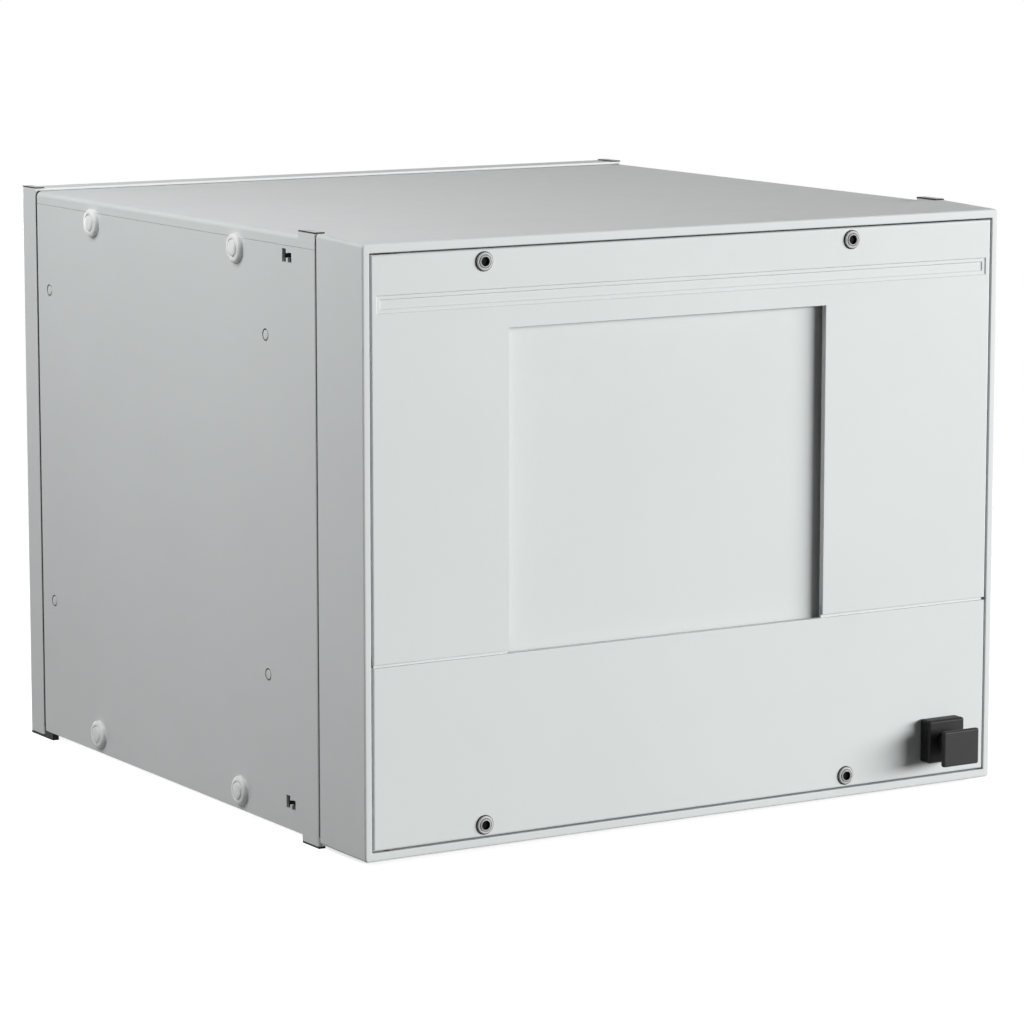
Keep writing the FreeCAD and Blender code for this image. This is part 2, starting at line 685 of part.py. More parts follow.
def door_seal():
    outer = "seal_inset + seal_width"
    across = (f"-chamber_half - ({outer})", f"chamber_half + {outer}")
    up = (f"chamber_low - ({outer})", f"chamber_high + {outer}")
    span = ("door_back_y + seal_gap", "bulkhead_y")
    node(ring("door_seal_body", "y", span, across, up, "seal_width"), "door_seal")


SHAFT_HOLE = ("0", "fan_z", "shaft_hole")
SPIGOT_HOLE = ("spigot_across", "spigot_z", "spigot_radius + hole_gap")
SPIGOT_MOUTH = ("spigot_across", "spigot_z", "spigot_radius - spigot_wall")
PROBE_HOLE = ("probe_across", "probe_z", "probe_radius + hole_gap")


def chamber_liner():
    depth = ("chamber_front_y", "chamber_back_y")
    wide = ("-liner_half", "liner_half")
    inner = ("chamber_low", "chamber_high")
    node(plate("chamber_floor_body", "z", ("liner_low", "chamber_low"), wide, depth), "chamber_floor")
    node(plate("chamber_roof_body", "z", ("chamber_high", "liner_high"), wide, depth), "chamber_roof")
    left = plate("chamber_left_body", "x", ("-liner_half", "-chamber_half"), depth, inner)
    node(left, "chamber_left_wall")
    node(mirror("chamber_right_body", left), "chamber_right_wall")
    rear = plate("chamber_rear_body", "y", ("chamber_rear_y", "chamber_back_y"),
                 ("-chamber_half", "chamber_half"), inner, (SHAFT_HOLE, SPIGOT_MOUTH, PROBE_HOLE))
    node(rear, "chamber_rear_wall")


def insulation_slabs():
    across = ("-fill_half", "fill_half")
    depth = ("chamber_front_y", "chamber_back_y")
    low = box("slab_low", across, depth, ("shelf_place", "liner_low"))
    high = box("slab_high", across, depth, ("liner_high", "fill_high"))
    node(group("slabs", [low, high]), "insulation_slabs")
    side = box("slab_side", ("-fill_half", "-liner_half"), depth, ("liner_low", "liner_high"))
    node(group("side_slabs", [side, mirror("slab_side_right", side)]), "insulation_sides")
    rear = plate("slab_rear", "y", ("chamber_back_y", "fill_back_y"), across,
                 ("shelf_place", "fill_high"), (SHAFT_HOLE, SPIGOT_HOLE, PROBE_HOLE))
    node(rear, "insulation_rear")


HEATER_ROWS = ("heater_front_y", "(heater_front_y + heater_back_y) / 2", "heater_back_y")
HEATER_LEVELS = ("chamber_low + heater_inset", "chamber_high - heater_inset")


def heaters():
    rods = []
    holders = []
    for level, z in enumerate(HEATER_LEVELS):
        across = ("-chamber_half", "-chamber_half + holder_width")
        depth = (f"{HEATER_ROWS[0]} - holder_margin", f"{HEATER_ROWS[-1]} + holder_margin")
        up = (f"{z} - holder_height / 2", f"{z} + holder_height / 2")
        blank = box(f"holder_blank_{level}", across, depth, up)
        bores = []
        for number, y in enumerate(HEATER_ROWS):
            reach = ("-chamber_half + fit_gap", "chamber_half - fit_gap")
            rods.append(rod(f"heater_{level}_{number}", "x", "heater_radius", reach, (y, z)))
            bore_name = f"holder_bore_{level}_{number}"
            bores.append(rod(bore_name, "x", "heater_radius + hole_gap", across, (y, z)))
        left = cut(f"holder_{level}", blank, bores)
        holders += [left, mirror(f"holder_{level}_right", left)]
    node(group("heater_set", rods), "heater_rods")
    node(group("holder_set", holders), "heater_holders")


def rack_runners():
    body = new_body("runner_body")
    inner = "-chamber_half + runner_width"
    wall = "-chamber_half + runner_sheet"
    low = "runner_top - runner_height"
    corners = [("-chamber_half", "runner_top"), ("-chamber_half", low), (wall, low),
               (wall, "runner_top - runner_sheet"), (inner, "runner_top - runner_sheet"),
               (inner, "runner_top")]
    pad(body, "y", ("rack_front_y", "rack_back_y"), lambda s: outline(s, corners))
    node(group("runners", [body, mirror("runner_right", body)]), "rack_runners")


RACK_WIRES = 17


def board_rack():
    edge = "chamber_half - rack_inset"
    span = ("rack_front_y", "rack_back_y")
    bars = [rod(f"rack_rail_{i}", "y", "rack_rail", span, (f"{side}({edge})", "rack_z"))
            for i, side in enumerate(("-", ""))]
    for number in range(RACK_WIRES):
        ends = number in (0, RACK_WIRES - 1)
        radius = "rack_rail" if ends else "rack_wire"
        first = "rack_front_y + rack_rail"
        y = f"{first} + (rack_back_y - rack_rail - ({first})) * {number} / {RACK_WIRES - 1}"
        bars.append(rod(f"rack_wire_{number}", "x", radius, (f"-({edge})", edge), (y, "rack_z")))
    node(fuse("rack", bars), "board_rack")


def fan_baffle():
    across = ("-chamber_half + fit_gap", "chamber_half - fit_gap")
    up = ("chamber_low + fit_gap", "chamber_high - fit_gap")
    holes = (("0", "fan_z", "baffle_eye"), PROBE_HOLE)
    body = plate("fan_baffle_body", "y", ("baffle_y", "baffle_y + baffle_sheet"), across, up, holes)

    def draw(sketch):
        for side in (1, -1):
            outer = f"{side} * (chamber_half - baffle_slot_inset)"
            inner = f"{side} * (chamber_half - baffle_slot_inset - baffle_slot_width)"
            rectangle(sketch, (outer, inner),
                      ("chamber_low + baffle_slot_margin", "chamber_high - baffle_slot_margin"))

    pocket(body, "y", ("baffle_y", "baffle_y + baffle_sheet"), draw)
    node(body, "fan_baffle")


WHEEL_BLADES = 12


def convection_fan():
    at = ("0", "fan_z")
    disc = rod("wheel_disc", "y", "wheel_radius", ("wheel_plate_y", "wheel_back_y"), at)
    hub = rod("wheel_hub_blank", "y", "wheel_hub", ("wheel_front_y", "wheel_back_y"), at)
    blades = []
    for number in range(WHEEL_BLADES):
        blade = doc.addObject("Part::Box", f"wheel_blade_{number}")
        blade.setExpression("Length", expand("wheel_radius - wheel_hub / 2"))
        blade.setExpression("Width", expand("wheel_blade + wheel_plate / 2"))
        blade.setExpression("Height", expand("wheel_blade_sheet"))
        turn = 360 * number / WHEEL_BLADES
        rotation = FreeCAD.Rotation(FreeCAD.Vector(0, -1, 0), turn)
        blade.Placement = FreeCAD.Placement(FreeCAD.Vector(), rotation)
        blade.setExpression("Placement.Base.x", expand(f"wheel_hub / 2 * cos({turn})"))
        blade.setExpression("Placement.Base.y", expand("wheel_front_y"))
        blade.setExpression("Placement.Base.z", expand(f"fan_z + wheel_hub / 2 * sin({turn})"))
        blades.append(blade)
    wheel = fuse("wheel_blank", [disc, hub] + blades)
    bore = rod("wheel_bore", "y", "shaft_radius + running_gap", ("wheel_front_y", "wheel_back_y"), at)
    node(cut("wheel", wheel, [bore]), "convection_fan")
    shaft = rod("shaft", "y", "shaft_radius", ("wheel_front_y", "motor_y + shaft_engage - fit_gap"), at)
    node(shaft, "fan_shaft")


def fan_motor():
    at = ("0", "fan_z")
    can = rod("motor_can", "y", "motor_radius", ("motor_y", "motor_y + motor_length"), at)
    bore = rod("motor_bore", "y", "shaft_radius + running_gap", ("motor_y", "motor_y + shaft_engage"), at)
    node(cut("motor", can, [bore]), "fan_motor")
    body = new_body("bracket_body")
    top = "fan_z + bracket_width / 2"
    foot_top = "shelf_place + bracket_sheet"
    corners = [("bracket_y", "shelf_place"), ("bracket_y + bracket_foot", "shelf_place"),
               ("bracket_y + bracket_foot", foot_top), ("motor_y", foot_top), ("motor_y", top),
               ("bracket_y", top)]
    pad(body, "x", ("-bracket_width / 2", "bracket_width / 2"), lambda s: outline(s, corners))
    pocket(body, "y", ("bracket_y", "motor_y"), lambda s: circle(s, *SHAFT_HOLE))
    node(body, "motor_bracket")


def thermocouple():
    at = ("probe_across", "probe_z")
    end = "fill_back_y + gland_length"
    probe = rod("probe_rod", "y", "probe_radius", ("chamber_rear_y - probe_reach", end), at)
    gland = rod("probe_gland", "y", "gland_radius", ("fill_back_y", end), at)
    node(fuse("probe", [probe, gland]), "thermocouple")


def exhaust_spigot():
    at = ("spigot_across", "spigot_z")
    tube = rod("spigot_tube", "y", "spigot_radius", ("chamber_back_y", "spigot_end_y"), at)
    flange = rod("spigot_plate", "y", "spigot_flange", ("back_y", "back_y + spigot_flange_sheet"), at)
    bore = rod("spigot_bore", "y", "spigot_radius - spigot_wall", ("chamber_back_y", "spigot_end_y"), at)
    node(cut("spigot", fuse("spigot_blank", [tube, flange]), [bore]), "exhaust_spigot")


# Electronics bay

def bay_contents():
    supply = box("supply", ("supply_across", "supply_across + supply_width"),
                 ("bay_y", "bay_y + supply_depth"), ("base_top", "base_top + supply_height"))
    node(supply, "power_supply")
    relay = box("relay", ("relay_across", "relay_across + relay_width"),
                ("bay_y", "bay_y + relay_depth"), ("base_top", "base_top + relay_height"))
    node(relay, "solid_state_relay")
    board_low = "base_top + standoff_height"
    across = ("board_across", "board_across + board_width")
    depth = ("bay_y", "bay_y + board_depth")
    node(plate("board", "z", (board_low, f"{board_low} + board_sheet"), across, depth), "control_board")
    posts = []
    for x in ("board_across + standoff_inset", "board_across + board_width - standoff_inset"):
        for y in ("bay_y + standoff_inset", "bay_y + board_depth - standoff_inset"):
            name = f"standoff_{len(posts)}"
            posts.append(rod(name, "z", "standoff_radius", ("base_top", board_low), (x, y)))
    node(group("standoffs", posts), "board_standoffs")


def rear_socket(name, place, wide, tall, depth, rim, rim_sheet):
    """The blank of a socket that sits in the rear cover, with its rim outside."""
    half, high = f"{wide} / 2", f"{tall} / 2"
    barrel = box(name + "_barrel", (f"{place} - {half}", f"{place} + {half}"),
                 (f"back_y - {depth}", f"back_y + {rim_sheet}"),
                 (f"socket_row - {high}", f"socket_row + {high}"))
    lip = box(name + "_rim", (f"{place} - {half} - {rim}", f"{place} + {half} + {rim}"),
              ("back_y", f"back_y + {rim_sheet}"),
              (f"socket_row - {high} - {rim} / 2", f"socket_row + {high} + {rim} / 2"))
    return fuse(name + "_blank", [barrel, lip])


def power_inlet():
    blank = rear_socket("inlet", "inlet_across", "inlet_width", "inlet_height", "inlet_depth",
                        "inlet_rim", "inlet_rim_sheet")
    half, high = "inlet_width / 2 - inlet_wall", "inlet_height / 2 - inlet_wall"
    floor = "back_y + inlet_rim_sheet - inlet_cavity"
    hollow = box("inlet_hollow", (f"inlet_across - ({half})", f"inlet_across + {half}"),
                 (floor, "back_y + inlet_rim_sheet"), (f"socket_row - ({high})", f"socket_row + {high}"))
    blades = []
    for number in (-1, 0, 1):
        middle = f"inlet_across + {number} * inlet_blade_pitch"
        across = (f"{middle} - inlet_blade / 2", f"{middle} + inlet_blade / 2")
        up = ("socket_row - inlet_blade_height / 2", "socket_row + inlet_blade_height / 2")
        blades.append(box(f"inlet_blade_{number + 1}", across, (f"{floor} - inlet_wall", "back_y"), up))
    node(fuse("inlet_body", [cut("inlet_shell", blank, [hollow])] + blades), "power_inlet")


def power_switch():
    at = ("rocker_y", "socket_row")
    blank = rear_socket("switch", "switch_across", "switch_width", "switch_height", "switch_depth",
                        "switch_rim", "switch_rim_sheet")
    half = "rocker_width / 2"
    room = f"{half} + rocker_gap"
    hollow = rod("switch_hollow", "x", "rocker_radius + rocker_gap",
                 (f"switch_across - ({room})", f"switch_across + {room}"), at)
    reach = f"{half} + rocker_pin_length"
    pin_hole = rod("switch_pin_hole", "x", "rocker_pin + running_gap",
                   (f"switch_across - ({reach} + hole_gap)", f"switch_across + {reach} + hole_gap"), at)
    node(cut("switch", blank, [fuse("switch_room", [hollow, pin_hole])]), "switch_body")
    drum_span = (f"switch_across - {half}", f"switch_across + {half}")
    drum = rod("rocker_drum", "x", "rocker_radius", drum_span, at)
    pin_span = (f"switch_across - ({reach})", f"switch_across + {reach}")
    pin = rod("rocker_pins", "x", "rocker_pin", pin_span, at)
    above = doc.addObject("Part::Box", "rocker_front")
    above.setExpression("Length", expand("rocker_width"))
    above.setExpression("Width", expand("rocker_radius"))
    above.setExpression("Height", expand("2 * rocker_radius"))
    tilt = value("rocker_tilt")
    above.Placement = FreeCAD.Placement(FreeCAD.Vector(), FreeCAD.Rotation(FreeCAD.Vector(1, 0, 0), tilt))
    above.setExpression("Placement.Base.x", expand(f"switch_across - {half}"))
    above.setExpression("Placement.Base.y", expand(
        "rocker_y + rocker_face * cos(rocker_tilt) + rocker_radius * sin(rocker_tilt)"))
    above.setExpression("Placement.Base.z", expand(
        "socket_row + rocker_face * sin(rocker_tilt) - rocker_radius * cos(rocker_tilt)"))
    node(cut("rocker", fuse("rocker_blank", [drum, pin]), [above]), "power_rocker")


def data_socket():
    half, high = "data_width / 2", "data_height / 2"
    blank = box("data_blank", (f"data_across - {half}", f"data_across + {half}"),
                ("back_y - data_depth", "back_y"), (f"socket_row - {high}", f"socket_row + {high}"))
    slot = box("data_slot", ("data_across - data_slot_width / 2", "data_across + data_slot_width / 2"),
               ("back_y - data_slot_depth", "back_y"),
               ("socket_row - data_slot_height / 2", "socket_row + data_slot_height / 2"))
    node(cut("data", blank, [slot]), "data_socket")


COOLER_AT = ("cooler_across", "cooler_up")


def cooler_bar(name, width, length, y, turned):
    """A bar across the cooling fan's middle, lying or upright."""
    wide = (f"cooler_across - {length} / 2", f"cooler_across + {length} / 2")
    tall = (f"cooler_up - {width} / 2", f"cooler_up + {width} / 2")
    if turned:
        wide = (f"cooler_across - {width} / 2", f"cooler_across + {width} / 2")
        tall = (f"cooler_up - {length} / 2", f"cooler_up + {length} / 2")
    return box(name, wide, y, tall)


def cooling_fan():
    square = ("cooler_across - cooler_half", "cooler_across + cooler_half")
    upright = ("cooler_up - cooler_half", "cooler_up + cooler_half")
    shell = box("cooler_shell", square, ("cooler_y", "back_inner_y"), upright)
    duct = rod("cooler_duct", "y", "cooler_bore", ("cooler_y", "back_inner_y"), COOLER_AT)
    plate_span = ("cooler_y", "cooler_y + cooler_plate")
    boss = rod("cooler_boss", "y", "cooler_hub", plate_span, COOLER_AT)
    length = "(cooler_size - 2 * cooler_arm_inset)"
    arms = [cooler_bar(f"cooler_arm_{i}", "cooler_arm", length, plate_span, i) for i in (0, 1)]
    frame = fuse("cooler_frame_blank", [cut("cooler_open", shell, [duct]), boss] + arms)
    bore = rod("cooler_shaft_bore", "y", "cooler_shaft + running_gap", plate_span, COOLER_AT)
    node(cut("cooler_frame", frame, [bore]), "cooling_fan_frame")


COOLER_BLADES = 7


def cooling_rotor():
    front = "cooler_y + cooler_plate + cooler_shaft"
    back = "back_inner_y - cooler_shaft"
    hub = rod("rotor_hub", "y", "cooler_hub", (front, back), COOLER_AT)
    shaft = rod("rotor_shaft", "y", "cooler_shaft", ("cooler_y", front), COOLER_AT)
    blades = []
    for number in range(COOLER_BLADES):
        turn = 360 * number / COOLER_BLADES
        blade = doc.addObject("Part::Box", f"rotor_blade_{number}")
        blade.setExpression("Length", expand("cooler_blade - cooler_hub / 2"))
        blade.setExpression("Width", expand("cooler_blade_chord"))
        blade.setExpression("Height", expand("cooler_blade_sheet"))
        around = FreeCAD.Rotation(FreeCAD.Vector(0, -1, 0), turn)
        pitch = FreeCAD.Rotation(FreeCAD.Vector(1, 0, 0), value("cooler_pitch"))
        blade.Placement = FreeCAD.Placement(FreeCAD.Vector(), around.multiply(pitch))
        lift = "cooler_blade_chord / 2 * sin(cooler_pitch)"
        blade.setExpression("Placement.Base.x", expand(
            f"cooler_across + cooler_hub / 2 * cos({turn}) + {lift} * sin({turn})"))
        blade.setExpression("Placement.Base.y", expand(
            f"({front} + {back}) / 2 - cooler_blade_chord / 2 * cos(cooler_pitch)"))
        blade.setExpression("Placement.Base.z", expand(
            f"cooler_up + cooler_hub / 2 * sin({turn}) - {lift} * cos({turn})"))
        blades.append(blade)
    node(fuse("rotor", [hub, shaft] + blades), "cooling_rotor")


GUARD_RINGS = 4


def fan_guard():
    span = ("back_y", "back_y + guard_wire")
    pieces = []
    for number in range(1, GUARD_RINGS + 1):
        middle = f"{number} * guard_step"
        outer = rod(f"guard_outer_{number}", "y", f"{middle} + guard_wire / 2", span, COOLER_AT)
        inner = rod(f"guard_inner_{number}", "y", f"{middle} - guard_wire / 2", span, COOLER_AT)
        pieces.append(cut(f"guard_ring_{number}", outer, [inner]))
    length = f"(2 * {GUARD_RINGS} * guard_step)"
    pieces += [cooler_bar(f"guard_bar_{i}", "guard_wire", length, span, i) for i in (0, 1)]
    node(fuse("guard", pieces), "fan_guard")


# Door

DOOR_SCREWS = [(x, z) for x in ("screw_left", "screw_right") for z in ("screw_low", "screw_high")]
SPINDLE_AT = ("knob_across", "knob_up")
BLOCK_ACROSS = ("hinge_x - hinge_block_width / 2", "hinge_x + hinge_block_width / 2")
BLOCK_LEVELS = (("door_low", "door_low + hinge_block_height"),
                ("door_high - hinge_block_height", "door_high"))


def hinge_pocket(body, level):
    """Room behind a front panel for its hinge block."""
    low, high = BLOCK_LEVELS[level]
    across = (f"{BLOCK_ACROSS[0]} - fit_gap", f"{BLOCK_ACROSS[1]} + fit_gap")
    up = (low, f"{high} + fit_gap") if level == 0 else (f"{low} - fit_gap", high)
    pocket(body, "y", ("block_front_y - fit_gap", "sheet_back_y"), lambda s: rectangle(s, across, up))


def front_edge(edge):
    """True for an outer edge of the door's front face."""
    middle = edge.BoundBox.Center
    at_side = near(abs(middle.x), "door_half")
    at_end = near(middle.z, "door_low") or near(middle.z, "door_high")
    return near(edge.BoundBox.YMax, "front_y") and (at_side or at_end)


def lap_strips():
    """Where the lower panel's tongue runs behind the upper panel, on both sides of the window."""
    return (("-door_half + door_round", "window_left"), ("window_right", "door_half - door_round"))


def door_upper_panel():
    body = new_body("door_upper_body")
    corners = [("-door_half", "upper_low"), ("window_left", "upper_low"), ("window_left", "window_top"),
               ("window_right", "window_top"), ("window_right", "upper_low"), ("door_half", "upper_low"),
               ("door_half", "door_high"), ("-door_half", "door_high")]

    def draw(sketch):
        outline(sketch, corners)
        for x in ("screw_left", "screw_right"):
            circle(sketch, x, "screw_high", "screw_radius + hole_gap")

    pad(body, "y", ("front_y", "sheet_back_y"), draw)
    round_edges(body, "door_round", front_edge)
    pocket(body, "y", ("front_y", "front_y + strip_depth"), lambda s: rectangle(
        s, ("-strip_half", "strip_half"), ("strip_low", "strip_high")))
    hinge_pocket(body, 1)

    def draw_laps(sketch):
        for across in lap_strips():
            rectangle(sketch, (f"{across[0]} - fit_gap", f"{across[1]} + fit_gap"),
                      ("upper_low", "upper_low + groove_lap + fit_gap"))

    pocket(body, "y", ("lap_y - fit_gap", "sheet_back_y"), draw_laps)
    node(body, "door_upper_panel")


def door_lower_panel():
    body = new_body("door_lower_body")

    def draw(sketch):
        rectangle(sketch, ("-door_half", "door_half"), ("door_low", "lower_top"))
        for x in ("screw_left", "screw_right"):
            circle(sketch, x, "screw_low", "screw_radius + hole_gap")
        circle(sketch, *SPINDLE_AT, "spindle_radius + hole_gap")

    def draw_laps(sketch):
        for across in lap_strips():
            rectangle(sketch, across, ("lower_top - groove_lap", "upper_low + groove_lap"))

    pad(body, "y", ("front_y", "sheet_back_y"), draw)
    round_edges(body, "door_round", front_edge)
    pad(body, "y", ("lap_y", "sheet_back_y"), draw_laps)
    hinge_pocket(body, 0)
    node(body, "door_lower_panel")


def window_blank():
    body = new_body("window_blank_body")
    across, up = ("tray_left", "tray_right"), ("tray_low", "tray_high")
    pad(body, "y", ("tray_floor_y", "tray_back_y"), lambda s: rectangle(s, across, up))
    pad_ring(body, "y", ("sheet_back_y", "tray_floor_y"), across, up, "pan_sheet")
    node(body, "window_blank")


def door_pan():
    body = new_body("door_pan_body")
    box_across = ("pan_box_left", "pan_box_right")
    box_up = ("pan_box_low", "pan_box_high")
    pad(body, "y", ("door_back_y - pan_sheet", "door_back_y"), lambda s: rectangle(s, box_across, box_up))
    pad_ring(body, "y", ("sheet_back_y", "door_back_y - pan_sheet"), box_across, box_up, "pan_sheet")

    def draw_flange(sketch):
        rectangle(sketch, ("-pan_left", "pan_right"), ("pan_low", "pan_high"))
        rectangle(sketch, ("pan_box_left + pan_sheet / 2", "pan_box_right - pan_sheet / 2"),
                  ("pan_box_low + pan_sheet / 2", "pan_box_high - pan_sheet / 2"))
        for x, z in DOOR_SCREWS:
            circle(sketch, x, z, "screw_radius + hole_gap")

    pad(body, "y", ("sheet_back_y", "flange_back_y"), draw_flange)
    pocket(body, "y", ("door_back_y - pan_sheet", "door_back_y"),
           lambda s: circle(s, *SPINDLE_AT, "spindle_radius + hole_gap"))
    node(body, "door_pan")


def door_insulation():
    gap = "pan_sheet + door_fill_gap"
    node(box("door_fill", (f"pan_box_left + {gap}", f"pan_box_right - ({gap})"),
             ("tray_back_y + fit_gap", "door_back_y - pan_sheet - fit_gap"),
             ("door_fill_low", f"pan_box_high - ({gap})")), "door_insulation")


def door_fasteners():
    screws, washers, nuts = [], [], []
    head_y = "front_y - screw_head_height"
    washer_span = ("front_y - washer_height", "front_y")
    nut_span = ("flange_back_y", "flange_back_y + nut_height")
    for i, at in enumerate(DOOR_SCREWS):
        shank_span = ("front_y - screw_head_height / 2", "front_y + screw_length")
        shank = rod(f"door_shank_{i}", "y", "screw_radius", shank_span, at)
        head = rod(f"door_head_{i}", "y", "screw_head", (head_y, "front_y - fit_gap"), at)
        socket = rod(f"door_socket_{i}", "y", "socket_radius", (head_y, f"{head_y} + socket_depth"), at)
        screws.append(cut(f"door_screw_{i}", fuse(f"door_screw_blank_{i}", [shank, head]), [socket]))
        cup_radii = ("screw_head + washer_height / 2", "washer_radius")
        cup = cone(f"washer_cup_{i}", "y", cup_radii, washer_span, at)
        eye = rod(f"washer_eye_{i}", "y", "screw_head + hole_gap", washer_span, at)
        washers.append(cut(f"washer_{i}", cup, [eye]))
        nut = rod(f"nut_blank_{i}", "y", "nut_radius", nut_span, at)
        thread = rod(f"nut_thread_{i}", "y", "screw_radius + hole_gap / 2", nut_span, at)
        nuts.append(cut(f"nut_{i}", nut, [thread]))
    node(group("door_screw_set", screws), "door_screws")
    node(group("washer_set", washers), "door_washers")
    node(group("nut_set", nuts), "door_nuts")


def hinges():
    blocks, pins = [], []
    at = ("hinge_x", "hinge_y")
    spans = (("opening_low - hinge_seat", "opening_low + hinge_pin_reach"),
             ("opening_high - hinge_pin_reach", "opening_high + hinge_seat"))
    for level, up in enumerate(BLOCK_LEVELS):
        depth = ("block_front_y", "front_y + hinge_block_back")
        blank = box(f"hinge_blank_{level}", BLOCK_ACROSS, depth, up)
        bore = rod(f"hinge_bore_{level}", "z", "hinge_pin + running_gap", up, at)
        blocks.append(cut(f"hinge_block_{level}", blank, [bore]))
        pins.append(rod(f"hinge_pin_{level}", "z", "hinge_pin", spans[level], at))
    node(group("hinge_block_set", blocks), "hinge_blocks")
    node(group("hinge_pin_set", pins), "hinge_pins")


# Latch

def knob_square(half, drop="0"):
    across = ("knob_across - knob_size / 2", "knob_across + knob_size / 2")
    return across, (f"knob_up - {drop} - {half}", f"knob_up - {drop} + {half}")


def long_front_edge(y):
    """Accept edges square to Y on a face at the given place, and the four that run back from it."""
    def pick(edge):
        return near(edge.BoundBox.YMax, y) or lies_along(edge, "y")
    return pick


def knob_base():
    body = new_body("knob_base_body")
    across, up = knob_square("knob_size / 2")
    pad(body, "y", ("front_y - knob_base_depth", "front_y"), lambda s: rectangle(s, across, up))
    round_edges(body, "knob_round", long_front_edge("front_y - knob_base_depth"))
    pocket(body, "y", ("front_y - knob_base_depth", "front_y"),
           lambda s: circle(s, *SPINDLE_AT, "spindle_radius + running_gap"))
    node(body, "knob_base")


def latch_knob():
    body = new_body("latch_knob_body")
    across, up = knob_square("grip_height / 2", "grip_drop")
    grip = ("front_y - knob_reach", "grip_back_y")
    pad(body, "y", grip, lambda s: rectangle(s, across, up))
    round_edges(body, "knob_round", long_front_edge(grip[0]))
    pad(body, "y", ("grip_back_y", "neck_y"), lambda s: circle(s, *SPINDLE_AT, "neck_radius"))
    pocket(body, "y", ("grip_back_y", "neck_y"),
           lambda s: circle(s, *SPINDLE_AT, "spindle_radius + running_gap"))
    node(body, "latch_knob")


def latch_spindle():
    step = "cam_back_y + running_gap"
    bar = rod("spindle_bar", "y", "spindle_radius", ("grip_back_y + running_gap", step), SPINDLE_AT)
    end_span = (step, "cam_back_y + spindle_rivet_length")
    end = rod("spindle_end", "y", "spindle_rivet", end_span, SPINDLE_AT)
    node(fuse("spindle", [bar, end]), "latch_spindle")


def latch_cam():
    body = plate("latch_cam_body", "y", ("cam_y", "cam_back_y"),
                 ("knob_across - cam_width / 2", "knob_across + cam_width / 2"),
                 ("knob_up - cam_tail", "knob_up + cam_reach"),
                 [(*SPINDLE_AT, "spindle_radius + running_gap")])
    node(body, "latch_cam")


def build():
    fill_sheet()
    front_frame()
    corner_posts()
    corner_caps()
    corner_feet()
    rear_screws()
    base_plate()
    bay_shelf()
    side_panels()
    side_plugs()
    side_rivets()
    frame_clips()
    top_panel()
    rear_cover()
    front_bulkhead()
    door_seal()
    chamber_liner()
    insulation_slabs()
    heaters()
    rack_runners()
    board_rack()
    fan_baffle()
    convection_fan()
    fan_motor()
    thermocouple()
    exhaust_spigot()
    bay_contents()
    power_inlet()
    power_switch()
    data_socket()
    cooling_fan()
    cooling_rotor()
    fan_guard()
    door_upper_panel()
    door_lower_panel()
    window_blank()
    door_pan()
    door_insulation()
    door_fasteners()
    hinges()
    knob_base()
    latch_knob()
    latch_spindle()
    latch_cam()
    doc.recompute()


def check():
    """Stop if any object failed, or any sub-part is empty or broken."""
    failed = [obj.Name for obj in doc.Objects if {"Invalid", "Error"} & set(obj.State)]
    shapes = {obj.Label: obj.Shape for obj in nodes}
    bad = [name for name, shape in shapes.items()
           if shape.isNull() or not shape.isValid() or not shape.Solids]
    if failed or bad:
        raise RuntimeError(f"failed objects: {failed}; bad shapes: {bad}")


def export():
    os.makedirs("parts", exist_ok=True)
    for obj in nodes:
        obj.Shape.exportStep(os.path.join("parts", obj.Label + ".step"))
        print(obj.Label, len(obj.Shape.Solids), round(obj.Shape.Volume))


build()
check()
export()
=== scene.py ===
"""Looks of a bench reflow oven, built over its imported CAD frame.

The file is laid out as an add-on and run as a script. Lengths are metres in the frame of the CAD
model: +X to the right of someone facing the door, +Y from the door to the back, +Z up.
"""
import json
import math

import bmesh
import bpy
from bpy.props import FloatProperty, FloatVectorProperty, IntProperty, PointerProperty
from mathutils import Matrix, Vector


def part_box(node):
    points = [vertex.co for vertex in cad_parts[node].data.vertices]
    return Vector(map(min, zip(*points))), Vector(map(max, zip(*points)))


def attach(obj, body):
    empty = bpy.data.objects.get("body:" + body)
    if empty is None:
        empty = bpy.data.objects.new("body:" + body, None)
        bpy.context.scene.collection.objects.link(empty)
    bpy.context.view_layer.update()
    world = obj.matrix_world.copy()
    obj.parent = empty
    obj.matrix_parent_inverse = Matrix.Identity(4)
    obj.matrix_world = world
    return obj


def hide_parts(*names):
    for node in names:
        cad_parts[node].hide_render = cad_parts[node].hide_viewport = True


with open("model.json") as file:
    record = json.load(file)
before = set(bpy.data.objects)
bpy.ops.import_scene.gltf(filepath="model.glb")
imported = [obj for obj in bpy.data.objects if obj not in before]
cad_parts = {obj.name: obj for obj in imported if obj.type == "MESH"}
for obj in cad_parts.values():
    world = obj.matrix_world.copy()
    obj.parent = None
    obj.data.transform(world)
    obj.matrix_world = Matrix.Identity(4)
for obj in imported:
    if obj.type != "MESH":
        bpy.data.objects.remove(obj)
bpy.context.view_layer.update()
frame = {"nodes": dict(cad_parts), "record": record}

bl_info = {
    "name": "Bench reflow oven",
    "version": (1, 0, 0),
    "blender": (4, 5, 0),
    "location": "View3D > Sidebar > Oven",
    "description": "Builds the pieces and finishes of a bench reflow oven round its CAD frame",
    "category": "Object",
}

